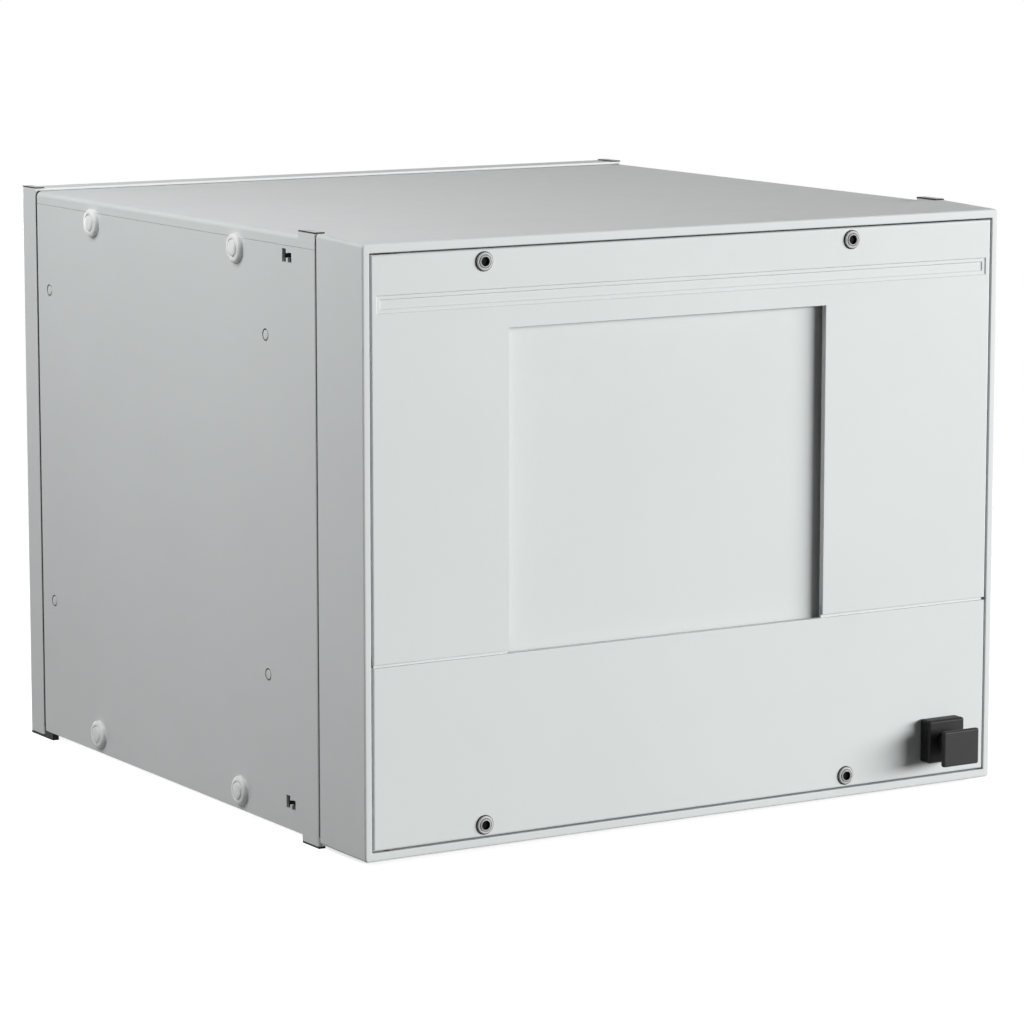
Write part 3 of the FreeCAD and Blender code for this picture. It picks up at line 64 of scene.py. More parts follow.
MERGE = 2e-6
FLAT = math.radians(1)
SHARP = math.radians(35)
SHADE_BREAK = math.radians(32)
TAU = 2 * math.pi
MM = 0.001
NEAR = 0.05 * MM        # how close a point has to be to count as on a level
LONG = 3.5 * MM         # shorter edges are facets of round holes, and stay sharp
BEND = 3.5 * MM         # outer bend between the side panels and the top
BLANK_LAP = 18 * MM     # how far the blank of the wide recess reaches behind the panel on each side
STRIP_DEPTH = 1.2 * MM  # depth of the long narrow recess in the CAD model
SLOT_OF = {part["node"]: part["material_slot"] for part in frame["record"]["subparts"]}
BODY_OF = {node: body for body, names in frame["record"]["behaviour"]["bodies"].items() for node in names}


# Sizes and colours that a user would change

def length(name, text, default):
    return FloatProperty(name=name, description=text, default=default, min=0.0, unit="LENGTH", precision=5)


def tint(name, text, default):
    return FloatVectorProperty(name=name, description=text, default=default, size=3, min=0.0, max=1.0,
                               subtype="COLOR")


def count_of(name, text, default, least):
    return IntProperty(name=name, description=text, default=default, min=least)


def amount(name, text, default):
    return FloatProperty(name=name, description=text, default=default, min=0.0)


class OvenSizes(bpy.types.PropertyGroup):
    """Sizes of the rounded edges and small fittings."""
    frame_edge: length("Frame edge", "Rounding of the front frame's edges", 1.4 * MM)
    panel_edge: length("Panel edge", "Rounding of the door panels' cut edges", 0.5 * MM)
    body_edge: length("Body edge", "Rounding of the side panels' upright edges", 1.8 * MM)
    sheet_edge: length("Sheet edge", "Rounding of other sheet edges", 0.5 * MM)
    door_gap: length("Door gap", "Gap between the door and the frame round it", 1.0 * MM)
    strip_step: length("Strip step", "Height of the two fine steps round the long narrow recess", 0.65 * MM)
    top_rise: length("Top rise", "How far the frame's top climbs from front to back", 2.0 * MM)
    seam_depth: length("Seam depth", "How far the seam strips lie below the panels", 0.3 * MM)
    coil_wire: length("Coil wire", "Radius of the heater coil's wire", 0.45 * MM)
    coil_turns: count_of("Coil turns", "Turns of each heater coil", 56, 1)
    rack_bars: count_of("Rack bars", "Bars across the board rack, between its ends", 15, 2)
    guard_rings: count_of("Guard rings", "Rings of the fan guard", 4, 1)
    wheel_blades: count_of("Wheel blades", "Blades of the convection fan", 12, 3)
    rotor_blades: count_of("Rotor blades", "Blades of the cooling fan", 7, 3)


class OvenColours(bpy.types.PropertyGroup):
    """Base colours of the finishes."""
    paint: tint("Paint", "Light grey powder paint", (0.655, 0.682, 0.677))
    plug: tint("Plug", "Off-white plastic of the side plugs", (0.84, 0.85, 0.85))
    # Grey only on the tops of the dark caps: a painted sheen where the light falls on them.
    cap: tint("Corner cap", "Grey plastic of the corner caps", (0.55, 0.565, 0.565))
    # The feet are dark plastic. In the seam strips and the rivet rings this dark colour is painted shade for the
    # gaps.
    foot: tint("Foot", "Dark plastic of the feet and seams", (0.008, 0.008, 0.008))
    black: tint("Black plastic", "Moulded black plastic", (0.007, 0.007, 0.0075))
    # Lighter than the black of the knob's base, which is the same plastic: painted light for the lit face of the
    # grip.
    grip: tint("Grip", "Charcoal plastic of the knob's grip", (0.017, 0.0165, 0.018))
    zinc: tint("Zinc", "Zinc coated sheet", (0.36, 0.37, 0.38))
    steel: tint("Steel", "Bright turned steel", (0.62, 0.62, 0.61))
    dull: tint("Satin steel", "Blasted steel of the cup washers and screw rims", (0.52, 0.525, 0.52))
    blackened: tint("Blackened steel", "Blackened screws", (0.004, 0.004, 0.0043))
    stainless: tint("Stainless", "Brushed stainless sheet", (0.56, 0.55, 0.53))
    quartz: tint("Quartz", "Heater tubes", (0.90, 0.89, 0.87))
    ceramic: tint("Ceramic", "Heater holders", (0.72, 0.68, 0.60))
    wool: tint("Wool", "Pressed fibre board", (0.46, 0.41, 0.27))
    silicone: tint("Silicone", "Door seal", (0.20, 0.032, 0.02))
    board: tint("Circuit board", "Solder resist", (0.012, 0.09, 0.035))
    brass: tint("Brass", "Hinge blocks and contacts", (0.60, 0.42, 0.15))
    # Darker and less shiny than the black plastic: the clips' own black with painted shade for the shadow inside
    # the side slots.
    slot: tint("Clip slot", "Dead black of the clips in the side slots", (0.0025, 0.0025, 0.0027))
    coil: tint("Coil", "Oxidised heater wire", (0.30, 0.27, 0.25))
    floor: tint("Floor", "Studio floor", (0.90, 0.90, 0.90))


class OvenStage(bpy.types.PropertyGroup):
    """Camera and lights."""
    camera_place: FloatVectorProperty(
        name="Camera place", description="Where the camera stands", default=(-1.58404, -2.62292, 0.65570),
        size=3, subtype="TRANSLATION")
    camera_turn: FloatProperty(
        name="Camera turn", description="How far the camera looks to the right of +Y",
        default=math.radians(31.379), subtype="ANGLE")
    camera_pitch: FloatProperty(
        name="Camera pitch", description="How far the camera looks down", default=math.radians(8.894),
        subtype="ANGLE")
    camera_lens: FloatProperty(
        name="Lens", description="Focal length on a 36 mm sensor", default=153.0, min=1.0, unit="CAMERA")
    key_power: amount("Key", "Power of the key light, in watts", 453.0)
    side_power: amount("Side", "Power of the left light, in watts", 10.3)
    back_power: amount("Back", "Power of the rear light, in watts", 45.0)
    sky_level: amount("Sky", "Strength of the even light", 0.085)


# Finishes

STRAW = (0.50, 0.40, 0.24, 1.0)     # tint of heated stainless
TINNED = (0.55, 0.53, 0.46, 1.0)    # bare pads of the circuit board


def plug(tree, entry, source):
    """Link another node's output to a node's input, or set the input's own value."""
    if isinstance(source, bpy.types.NodeSocket):
        tree.links.new(source, entry)
    else:
        entry.default_value = source


class Recipe:
    """One finish: a shader fed by textures on Object coordinates."""

    def __init__(self, name, **levels):
        self.material = bpy.data.materials.new(name)
        self.material.use_nodes = True
        self.tree = self.material.node_tree
        self.shader = self.tree.nodes["Principled BSDF"]
        self.spot = self.add("ShaderNodeTexCoord").outputs["Object"]
        self.normal = None
        self.feed(self.shader, **levels)

    def add(self, kind, **settings):
        node = self.tree.nodes.new(kind)
        for key, level in settings.items():
            setattr(node, key, level)
        return node

    def feed(self, node, **sources):
        for socket, source in sources.items():
            plug(self.tree, node.inputs[socket.replace("_", " ")], source)
        return node

    def stretch(self, *scale):
        """The place on the piece, stretched along each axis."""
        return self.feed(self.add("ShaderNodeMapping"), Vector=self.spot, Scale=scale).outputs["Vector"]

    def noise(self, scale, detail=2.0, spot=None):
        node = self.add("ShaderNodeTexNoise")
        return self.feed(node, Vector=spot or self.spot, Scale=scale, Detail=detail).outputs["Fac"]

    def cells(self, scale, output="Distance"):
        node = self.add("ShaderNodeTexVoronoi")
        return self.feed(node, Vector=self.spot, Scale=scale).outputs[output]

    def level(self, source, low, high, start=0.25, end=0.75):
        """A texture's spread from start to end, as a number from low to high."""
        node = self.add("ShaderNodeMapRange", clamp=True)
        self.feed(node, Value=source, From_Min=start, From_Max=end, To_Min=low, To_Max=high)
        return node.outputs["Result"]

    def tones(self, source, colour, low, high):
        """One colour, darker at the texture's low end and lighter at its high end."""
        node = self.feed(self.add("ShaderNodeValToRGB"), Fac=source)
        for element, place, factor in zip(node.color_ramp.elements, (0.3, 0.7), (low, high)):
            element.position = place
            element.color = (*scaled(colour, factor), 1.0)
        return node.outputs["Color"]

    def blend(self, factor, first, second):
        node = self.add("ShaderNodeMix", data_type="RGBA")
        for entry, source in zip((0, 6, 7), (factor, first, second)):
            plug(self.tree, node.inputs[entry], source)
        return node.outputs[2]

    def mixed(self, factor, first, second):
        """Two shaders, mixed by a factor."""
        node = self.add("ShaderNodeMixShader")
        for entry, source in zip(node.inputs, (factor, first, second)):
            plug(self.tree, entry, source)
        return node.outputs[0]

    def bump(self, height, depth, strength):
        """Raise the surface by a texture, on top of earlier bumps."""
        node = self.feed(self.add("ShaderNodeBump"), Height=height, Distance=depth, Strength=strength)
        if self.normal is not None:
            self.feed(node, Normal=self.normal)
        self.normal = node.outputs["Normal"]

    def done(self, colour, roughness):
        self.feed(self.shader, Base_Color=colour, Roughness=roughness)
        if self.normal is not None:
            self.feed(self.shader, Normal=self.normal)
        return self.material


def scaled(colour, factor):
    return tuple(min(1.0, part * factor) for part in colour)


def powder_paint(name, colour):
    """Fine powder paint: a slight orange peel, a fine grain and faint handling marks."""
    recipe = Recipe(name, Specular_IOR_Level=0.25)
    recipe.bump(recipe.noise(260, 2), 0.00012, 0.20)
    recipe.bump(recipe.noise(1400, 3), 0.00004, 0.35)
    clouds = recipe.noise(9, 4)
    return recipe.done(recipe.tones(clouds, colour, 0.985, 1.012),
                       recipe.level(recipe.noise(70, 5), 0.42, 0.52))


def moulded_plastic(name, colour, gloss=0.42, grain=1800, shine=0.2):
    """Spark-eroded moulded plastic."""
    recipe = Recipe(name, Specular_IOR_Level=shine)
    recipe.bump(recipe.noise(grain, 3), 0.00005, 0.4)
    recipe.bump(recipe.noise(grain / 9, 2), 0.0001, 0.08)
    return recipe.done(recipe.tones(recipe.noise(55, 4), colour, 0.86, 1.14),
                       recipe.level(recipe.noise(240, 4), gloss, gloss + 0.14))


def brushed_metal(name, colour, along, rough=0.26, tinted=False):
    """Metal with fine lines along one axis, and optionally the straw tint of heat."""
    recipe = Recipe(name, Metallic=1.0)
    reach = [4 if axis == along else 900 for axis in "xyz"]
    lines = recipe.noise(1, 5, recipe.stretch(*reach))
    recipe.bump(lines, 0.00003, 0.35)
    look = recipe.tones(lines, colour, 0.90, 1.08)
    if tinted:
        heat = recipe.level(recipe.noise(7, 3), 0.0, 0.65, 0.42, 0.72)
        look = recipe.blend(heat, look, STRAW)
    return recipe.done(look, recipe.level(lines, rough, rough + 0.16))


def zinc_sheet(name, colour):
    """Hot-dip zinc with its spangle."""
    recipe = Recipe(name, Metallic=1.0)
    spangle = recipe.feed(recipe.add("ShaderNodeSeparateColor"), Color=recipe.cells(170, "Color")).outputs[0]
    recipe.bump(recipe.noise(500, 2), 0.00003, 0.2)
    return recipe.done(recipe.tones(spangle, colour, 0.96, 1.03),
                       recipe.level(spangle, 0.58, 0.62))


def quartz_glass(name, colour):
    """Milky quartz tube."""
    recipe = Recipe(name, Transmission_Weight=0.85, IOR=1.46)
    drawn = recipe.noise(1, 3, recipe.stretch(3, 400, 400))
    recipe.bump(drawn, 0.00003, 0.2)
    return recipe.done(recipe.tones(drawn, colour, 0.96, 1.04), recipe.level(drawn, 0.08, 0.22))


def fired_ceramic(name, colour):
    """Dry off-white ceramic with small pits."""
    recipe = Recipe(name, Specular_IOR_Level=0.35)
    pits = recipe.cells(700)
    recipe.bump(pits, 0.0001, 0.25)
    return recipe.done(recipe.tones(recipe.noise(130, 5), colour, 0.86, 1.06),
                       recipe.level(pits, 0.5, 0.7, 0.0, 0.6))


def pressed_wool(name, colour):
    """Pressed mineral fibre, matted in two directions."""
    recipe = Recipe(name, Specular_IOR_Level=0.1)
    fibres = recipe.blend(0.5, recipe.noise(1, 6, recipe.stretch(90, 900, 300)),
                          recipe.noise(1, 6, recipe.stretch(900, 90, 300)))
    recipe.bump(fibres, 0.0012, 0.8)
    return recipe.done(recipe.tones(fibres, colour, 0.7, 1.2), recipe.level(fibres, 0.85, 1.0))


def moulded_silicone(name, colour):
    """Soft silicone with a dusty bloom."""
    recipe = Recipe(name, Specular_IOR_Level=0.35, Sheen_Weight=0.2)
    bloom = recipe.noise(160, 6)
    recipe.bump(recipe.noise(900, 2), 0.00005, 0.3)
    return recipe.done(recipe.tones(bloom, colour, 0.8, 1.35), recipe.level(bloom, 0.5, 0.68))


def solder_resist(name, colour):
    """Green resist over copper tracks, with bare pads."""
    recipe = Recipe(name, Specular_IOR_Level=0.5)
    track = recipe.add("ShaderNodeTexBrick", offset=0.37, squash=0.6)
    recipe.feed(track, Vector=recipe.spot, Scale=60, Mortar_Size=0.035, Bias=0.0)
    under = recipe.blend(track.outputs["Fac"], (*scaled(colour, 0.8), 1.0), (*scaled(colour, 1.9), 1.0))
    pads = recipe.level(recipe.cells(210), 1.0, 0.0, 0.10, 0.14)
    recipe.bump(track.outputs["Fac"], 0.00004, 0.5)
    look = recipe.blend(pads, under, TINNED)
    return recipe.done(look, recipe.level(recipe.noise(300, 3), 0.3, 0.45))


def finish(name):
    """The finish of a slot, made at its first use."""
    label = name + "_finish"
    if label in bpy.data.materials:
        return bpy.data.materials[label]
    hue = bpy.context.scene.oven_colours
    makers = {
        "light_paint": lambda: powder_paint(label, hue.paint),
        "white_plastic": lambda: moulded_plastic(label, hue.plug, 0.34, 900),
        "dark_plastic": lambda: moulded_plastic(label, hue.foot, 0.5),
        "cap_plastic": lambda: moulded_plastic(label, hue.cap, 0.45),
        "black_plastic": lambda: moulded_plastic(label, hue.black),
        "slot_black": lambda: moulded_plastic(label, hue.slot, 0.6, 1800, 0.03),
        "grip_plastic": lambda: moulded_plastic(label, hue.grip, 0.38),
        "zinc_sheet": lambda: zinc_sheet(label, hue.zinc),
        "bright_steel": lambda: brushed_metal(label, hue.steel, "y", 0.2),
        "satin_steel": lambda: moulded_plastic(label, hue.dull, 0.4, 2200),
        "black_steel": lambda: moulded_plastic(label, hue.blackened, 0.4, 2600, 0.05),
        "stainless": lambda: brushed_metal(label, hue.stainless, "y", 0.26, True),
        "quartz": lambda: quartz_glass(label, hue.quartz),
        "ceramic": lambda: fired_ceramic(label, hue.ceramic),
        "mineral_wool": lambda: pressed_wool(label, hue.wool),
        "silicone": lambda: moulded_silicone(label, hue.silicone),
        "circuit_board": lambda: solder_resist(label, hue.board),
        "brass": lambda: brushed_metal(label, hue.brass, "z", 0.24),
        "coil_wire": lambda: brushed_metal(label, hue.coil, "x", 0.35),
    }
    return makers[name]()


# Meshes

def merged(node):
    """A copy of a CAD node's shape with its loose triangles merged."""
    shape = bmesh.new()
    shape.from_mesh(frame["nodes"][node].data)
    bmesh.ops.remove_doubles(shape, verts=shape.verts, dist=MERGE)
    return shape


def whole_faces(node):
    """A copy of a CAD node's shape with its triangles joined to whole flat faces."""
    shape = merged(node)
    bmesh.ops.dissolve_limit(shape, angle_limit=FLAT, verts=shape.verts, edges=shape.edges)
    return shape


def long_edge(edge):
    return edge.calc_length() > LONG


def on_level(edge, axis, level):
    """True for an edge that lies at a level along an axis."""
    return all(abs(vert.co[axis] - level) < NEAR for vert in edge.verts)


def round_over(shape, width, pick=long_edge, segments=3):
    """Round the sharp edges that pick accepts."""
    edges = [edge for edge in shape.edges
             if len(edge.link_faces) == 2 and edge.calc_face_angle(0.0) > SHARP and pick(edge)]
    bmesh.ops.bevel(shape, geom=edges, offset=width, offset_type="OFFSET", segments=segments, profile=0.5,
                    affect="EDGES", clamp_overlap=False)


def solids(node):
    """The lowest and highest corner of each separate solid of a CAD node."""
    shape = merged(node)
    waiting = set(shape.verts)
    boxes = []
    while waiting:
        stack = [waiting.pop()]
        points = []
        while stack:
            vert = stack.pop()
            points.append(tuple(vert.co))
            for edge in vert.link_edges:
                other = edge.other_vert(vert)
                if other in waiting:
                    waiting.remove(other)
                    stack.append(other)
        boxes.append((Vector(map(min, zip(*points))), Vector(map(max, zip(*points)))))
    shape.free()
    return sorted(boxes, key=lambda box: tuple(round(part, 5) for part in box[0]))


def skin(rings, wrap=False):
    """A shape between rings of points. A wrapped skin joins its last ring to its first, others get end faces."""
    shape = bmesh.new()
    rows = [[shape.verts.new(point) for point in ring] for ring in rings]
    pairs = list(zip(rows, rows[1:]))
    if wrap:
        pairs.append((rows[-1], rows[0]))
    for first, second in pairs:
        for number in range(len(first)):
            after = (number + 1) % len(first)
            shape.faces.new((first[number], first[after], second[after], second[number]))
    if not wrap:
        shape.faces.new(list(reversed(rows[0])))
        shape.faces.new(rows[-1])
    return shape


def round_ring(radius, height, sides):
    """Points of a circle about Z."""
    return [(radius * math.cos(TAU * i / sides), radius * math.sin(TAU * i / sides), height)
            for i in range(sides)]


def turned(profile, sides=32, wrap=False):
    """A shape turned about Z from pairs of radius and height."""
    return skin([round_ring(radius, height, sides) for radius, height in profile], wrap)


def hexagon(radius, angle):
    """Outline of a hexagon, by its angle."""
    part = math.pi / 3
    return radius * math.cos(part / 2) / math.cos(angle % part - part / 2)


def cross(radius, angle):
    """Outline of a cross recess, by its angle."""
    arm = 0.36
    turn = abs((angle + math.pi / 4) % (math.pi / 2) - math.pi / 4)
    return radius * min(1 / math.cos(turn), arm / max(math.sin(turn), 1e-6))


def recessed_head(profile, outline, radius, depth, sides=24):
    """A turned head whose top has a recess of the given outline."""
    rings = [round_ring(r, h, sides) for r, h in profile]
    top = profile[-1][1]
    for height, share in ((top, 1.0), (top - depth, 0.92)):
        angles = [TAU * i / sides for i in range(sides)]
        reach = [share * outline(radius, angle) for angle in angles]
        rings.append([(r * math.cos(a), r * math.sin(a), height) for r, a in zip(reach, angles)])
    return skin(rings)


def rectangle_ring(low, high, radius, y, steps=5):
    """Points round a rectangle that faces the door's way, with rounded corners."""
    points = []
    corners = ((high[0], high[1], 0), (low[0], high[1], 1), (low[0], low[1], 2), (high[0], low[1], 3))
    for x, z, quarter in corners:
        inward = (-1 if x == high[0] else 1, -1 if z == high[1] else 1)
        for step in range(steps + 1):
            angle = math.pi / 2 * (quarter + step / steps)
            points.append((x + inward[0] * radius + radius * math.cos(angle), y,
                           z + inward[1] * radius + radius * math.sin(angle)))
    return points


def block(low, high, edge, segments=3):
    """A rounded block between two corners."""
    shape = bmesh.new()
    bmesh.ops.create_cube(shape, size=1.0)
    middle = (Vector(low) + Vector(high)) / 2
    size = Vector(high) - Vector(low)
    for vert in shape.verts:
        vert.co = Vector(a * b for a, b in zip(vert.co, size)) + middle
    bmesh.ops.bevel(shape, geom=shape.edges, offset=edge, offset_type="OFFSET", segments=segments,
                    profile=0.5, affect="EDGES", clamp_overlap=True)
    return shape


def mesh_of(name, shape, outward=True):
    """A mesh from a shape, which is used up, with its faces turned outwards or left as they are."""
    if outward:
        bmesh.ops.recalc_face_normals(shape, faces=shape.faces)
    mesh = bpy.data.meshes.new(name)
    shape.to_mesh(mesh)
    shape.free()
    return mesh


def joined(*shapes):
    """Several shapes as one."""
    whole = bmesh.new()
    for shape in shapes:
        mesh = mesh_of("part", shape, outward=False)
        whole.from_mesh(mesh)
        bpy.data.meshes.remove(mesh)
    return whole


def mm(*pairs):
    """Pairs of radius and height given in millimetres."""
    return [(radius * MM, height * MM) for radius, height in pairs]


def hex_nut(radius, hole, height, sides=24):
    """A six-sided nut about Z."""
    angles = [TAU * i / sides for i in range(sides)]
    six = [(hexagon(radius, a) * math.cos(a), hexagon(radius, a) * math.sin(a)) for a in angles]
    edge = 0.06 * radius
    inner = [(0.97 * x, 0.97 * y) for x, y in six]
    rings = [round_ring(hole, 0, sides), [(x, y, 0) for x, y in inner], [(x, y, edge) for x, y in six],
             [(x, y, height - edge) for x, y in six], [(x, y, height) for x, y in inner],
             round_ring(hole, height, sides)]
    return skin(rings, wrap=True)


def facing(shape, place, up, out):
    """Turn a shape made about Z so that its top points out and its Y points up, and move it to its place."""
    up, out = Vector(up), Vector(out)
    side = up.cross(out)
    for vert in shape.verts:
        x, y, z = vert.co
        vert.co = Vector(place) + side * x + up * y + out * z
    return shape


def along_y(shape, place):
    """Turn a shape made about Z so that its top points along Y, and move it to its place."""
    return facing(shape, place, (0, 0, -1), (0, 1, 0))


def new_object(name, mesh):
    piece = bpy.data.objects.new(name, mesh)
    bpy.context.scene.collection.objects.link(piece)
    return piece


def smooth(mesh):
    mesh.shade_smooth()
    mesh.set_sharp_from_angle(angle=SHADE_BREAK)


def settle(piece, body, slot, *nodes):
    """Tie a finished piece to its body and hide the CAD nodes that it stands for. The slot is not used."""
    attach(piece, body)
    if nodes:
        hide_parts(*nodes)
    return piece


def piece_of(name, shape, look, *nodes, body="case", slot=None, outward=True):
    """A finished piece from a shape, without the normals that a CAD node's copy brings along."""
    mesh = mesh_of(name, shape, outward)
    if "custom_normal" in mesh.attributes:
        mesh.attributes.remove(mesh.attributes["custom_normal"])
    smooth(mesh)
    mesh.materials.append(finish(look))
    piece = new_object(name, mesh)
    even = piece.modifiers.new("even_shading", "WEIGHTED_NORMAL")
    even.keep_sharp = True
    return settle(piece, body, slot or look, *nodes)


def middle_of(node):
    """The middle of a CAD node's box."""
    low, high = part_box(node)
    return (low + high) / 2


def spots_on(node, axis, level, way):
    """The middle of each solid of a node, moved to a level along an axis, and the way that it faces."""
    spots = []
    for low, high in solids(node):
        place = (low + high) / 2
        place[axis] = level
        spots.append((place, tuple(way if i == axis else 0 for i in range(3))))
    return spots


def dressed(node, width, pick=long_edge, look=None):
    """A CAD node's own shape with rounded edges, standing for the node."""
    shape = whole_faces(node)
    round_over(shape, width, pick)
    slot = SLOT_OF[node]
    return piece_of(node + "_dressed", shape, look or slot, node, body=BODY_OF[node], slot=slot, outward=False)


# Geometry node trees

GEOMETRY = "NodeSocketGeometry"


class Tree:
    """A geometry tree with named inputs, that ends in realised instances and one finish."""

    def __init__(self, name, **inputs):
        self.tree = bpy.data.node_groups.new(name, "GeometryNodeTree")
        self.tree.is_modifier = True
        face = self.tree.interface
        face.new_socket("Geometry", in_out="INPUT", socket_type=GEOMETRY)
        for label, kind in inputs.items():
            face.new_socket(label, in_out="INPUT", socket_type="NodeSocket" + kind)
        face.new_socket("Finish", in_out="INPUT", socket_type="NodeSocketMaterial")
        face.new_socket("Geometry", in_out="OUTPUT", socket_type=GEOMETRY)
        self.start = self.tree.nodes.new("NodeGroupInput").outputs

    def add(self, kind, settings=None, **sources):
        node = self.tree.nodes.new(kind)
        for key, level in (settings or {}).items():
            setattr(node, key, level)
        for socket, source in sources.items():
            plug(self.tree, node.inputs[socket.replace("_", " ")], source)
        return node.outputs

    def sum(self, how, first, second):
        node = self.tree.nodes.new("ShaderNodeMath")
        node.operation = how
        plug(self.tree, node.inputs[0], first)
        plug(self.tree, node.inputs[1], second)
        return node.outputs[0]

    def vector(self, **parts):
        return self.add("ShaderNodeCombineXYZ", **parts)["Vector"]

    def join(self, *shapes):
        node = self.tree.nodes.new("GeometryNodeJoinGeometry")
        for shape in shapes:
            self.tree.links.new(shape, node.inputs[0])
        return node.outputs[0]

    def wire(self, path, radius, sides=10):
        """A round wire along a path."""
        profile = self.add("GeometryNodeCurvePrimitiveCircle", Resolution=sides, Radius=radius)["Curve"]
        return self.add("GeometryNodeCurveToMesh", Curve=path, Profile_Curve=profile, Fill_Caps=True)["Mesh"]

    def end(self, shape):
        whole = self.add("GeometryNodeRealizeInstances", Geometry=shape)["Geometry"]
        named = self.add("GeometryNodeSetMaterial", Geometry=whole, Material=self.start["Finish"])["Geometry"]
        sink = self.tree.nodes.new("NodeGroupOutput")
        self.tree.links.new(named, sink.inputs["Geometry"])
        return self.tree


def grown(name, tree, look, mesh=None, **values):
    """The plain mesh that a tree makes, as an object at the origin."""
    piece = new_object(name, mesh or bpy.data.meshes.new(name))
    modifier = piece.modifiers.new("grow", "NODES")
    modifier.node_group = tree
    values["Finish"] = finish(look)
    for item in tree.interface.items_tree:
        if item.in_out == "INPUT" and item.name in values:
            modifier[item.identifier] = values[item.name]
    shown = piece.evaluated_get(bpy.context.evaluated_depsgraph_get())
    made = bpy.data.meshes.new_from_object(shown)
    piece.modifiers.remove(modifier)
    piece.data = made
    made.name = name
    smooth(made)
    return piece


def spread_tree():
    """Copies of a master at each point, its top turned the way the point faces."""
    if "spread" in bpy.data.node_groups:
        return bpy.data.node_groups["spread"]
    tree = Tree("spread", Master="Object", Spin="Float", Seed="Int")
    facing = tree.add("GeometryNodeInputNamedAttribute", {"data_type": "FLOAT_VECTOR"}, Name="facing")["Attribute"]
    random = tree.tree.nodes.new("FunctionNodeRandomValue")
    random.data_type = "FLOAT"
    plug(tree.tree, random.inputs[3], tree.start["Spin"])
    plug(tree.tree, random.inputs["Seed"], tree.start["Seed"])
    spun = tree.add("FunctionNodeAxisAngleToRotation", Axis=(0, 0, 1), Angle=random.outputs[1])["Rotation"]
    turned_out = tree.add("FunctionNodeAlignRotationToVector", {"axis": "Z"}, Rotation=spun, Vector=facing)
    master = tree.add("GeometryNodeObjectInfo", Object=tree.start["Master"], As_Instance=True)["Geometry"]
    copies = tree.add("GeometryNodeInstanceOnPoints", Points=tree.start["Geometry"], Instance=master,
                      Rotation=turned_out["Rotation"])["Instances"]
    return tree.end(copies)


def spread(name, shape, spots, look, *nodes, body="case", slot=None, spin=0.0, seed=1):
    """One finished piece made of copies of a shape at spots, each a place and the way that it faces."""
    master = new_object(name + "_master", mesh_of(name + "_master", shape))
    points = bpy.data.meshes.new(name + "_points")
    points.from_pydata([tuple(place) for place, _ in spots], [], [])
    facing = points.attributes.new("facing", "FLOAT_VECTOR", "POINT")
    for item, (_, way) in zip(facing.data, spots):
        item.vector = way
    piece = grown(name, spread_tree(), look, points, Master=master, Spin=spin, Seed=seed)
    bpy.data.objects.remove(master)
    settle(piece, body, slot or look, *nodes)


def rack_tree():
    """A wire rack: a rounded border with bars across it."""
    tree = Tree("rack", Width="Float", Depth="Float", Bars="Int", Rail="Float", Wire="Float", Corner="Float",
                Middle="Vector")
    start = tree.start
    square = tree.add("GeometryNodeCurvePrimitiveQuadrilateral", Width=start["Width"], Height=start["Depth"])
    border = tree.add("GeometryNodeFilletCurve", {"mode": "POLY"}, Curve=square["Curve"], Count=6,
                      Radius=start["Corner"])
    rail = tree.wire(border["Curve"], start["Rail"], 12)
    pitch = tree.sum("DIVIDE", start["Depth"], tree.sum("ADD", start["Bars"], 1))
    first = tree.sum("ADD", tree.sum("MULTIPLY", start["Depth"], -0.5), pitch)
    places = tree.add("GeometryNodeMeshLine", {"mode": "OFFSET"}, Count=start["Bars"],
                      Start_Location=tree.vector(Y=first), Offset=tree.vector(Y=pitch))["Mesh"]
    half = tree.sum("MULTIPLY", start["Width"], 0.5)
    line = tree.add("GeometryNodeCurvePrimitiveLine", Start=tree.vector(X=tree.sum("MULTIPLY", half, -1.0)),
                    End=tree.vector(X=half))["Curve"]
    bars = tree.add("GeometryNodeInstanceOnPoints", Points=places, Instance=tree.wire(line, start["Wire"]))
    whole = tree.join(rail, bars["Instances"])
    return tree.end(tree.add("GeometryNodeTransform", Geometry=whole, Translation=start["Middle"])["Geometry"])


def guard_tree():
    """A fan guard: evenly spaced rings of wire on spokes."""
    tree = Tree("guard", Rings="Int", Step="Float", Wire="Float", Middle="Vector")
    start = tree.start
    points = tree.add("GeometryNodeMeshLine", {"mode": "OFFSET"}, Count=start["Rings"], Offset=(0, 0, 0))["Mesh"]
    number = tree.sum("ADD", tree.add("GeometryNodeInputIndex")["Index"], 1)
    reach = tree.sum("MULTIPLY", number, start["Step"])
    circle = tree.add("GeometryNodeCurvePrimitiveCircle", Resolution=64, Radius=1.0)["Curve"]
    rings = tree.add("GeometryNodeInstanceOnPoints", Points=points, Instance=circle, Scale=reach)["Instances"]
    rings = tree.wire(tree.add("GeometryNodeRealizeInstances", Geometry=rings)["Geometry"], start["Wire"], 8)
    far = tree.sum("MULTIPLY", start["Rings"], start["Step"])
    near = tree.sum("MULTIPLY", far, -1.0)
    spokes = [tree.wire(tree.add("GeometryNodeCurvePrimitiveLine", Start=tree.vector(**{axis: near}),
                                 End=tree.vector(**{axis: far}))["Curve"], start["Wire"], 8) for axis in "XY"]
    whole = tree.add("GeometryNodeTransform", Geometry=tree.join(rings, *spokes), Translation=start["Middle"],
                     Rotation=(math.pi / 2, 0, 0))["Geometry"]
    return tree.end(whole)


def coil_tree():
    """Wire coils along X, one at each point."""
    tree = Tree("coils", Turns="Float", Radius="Float", Length="Float", Wire="Float")
    start = tree.start
    spiral = tree.add("GeometryNodeCurveSpiral", Resolution=12, Rotations=start["Turns"],
                      Start_Radius=start["Radius"], End_Radius=start["Radius"], Height=start["Length"])["Curve"]
    coil = tree.wire(spiral, start["Wire"], 5)
    copies = tree.add("GeometryNodeInstanceOnPoints", Points=start["Geometry"], Instance=coil,
                      Rotation=(0, math.pi / 2, 0))["Instances"]
    return tree.end(copies)


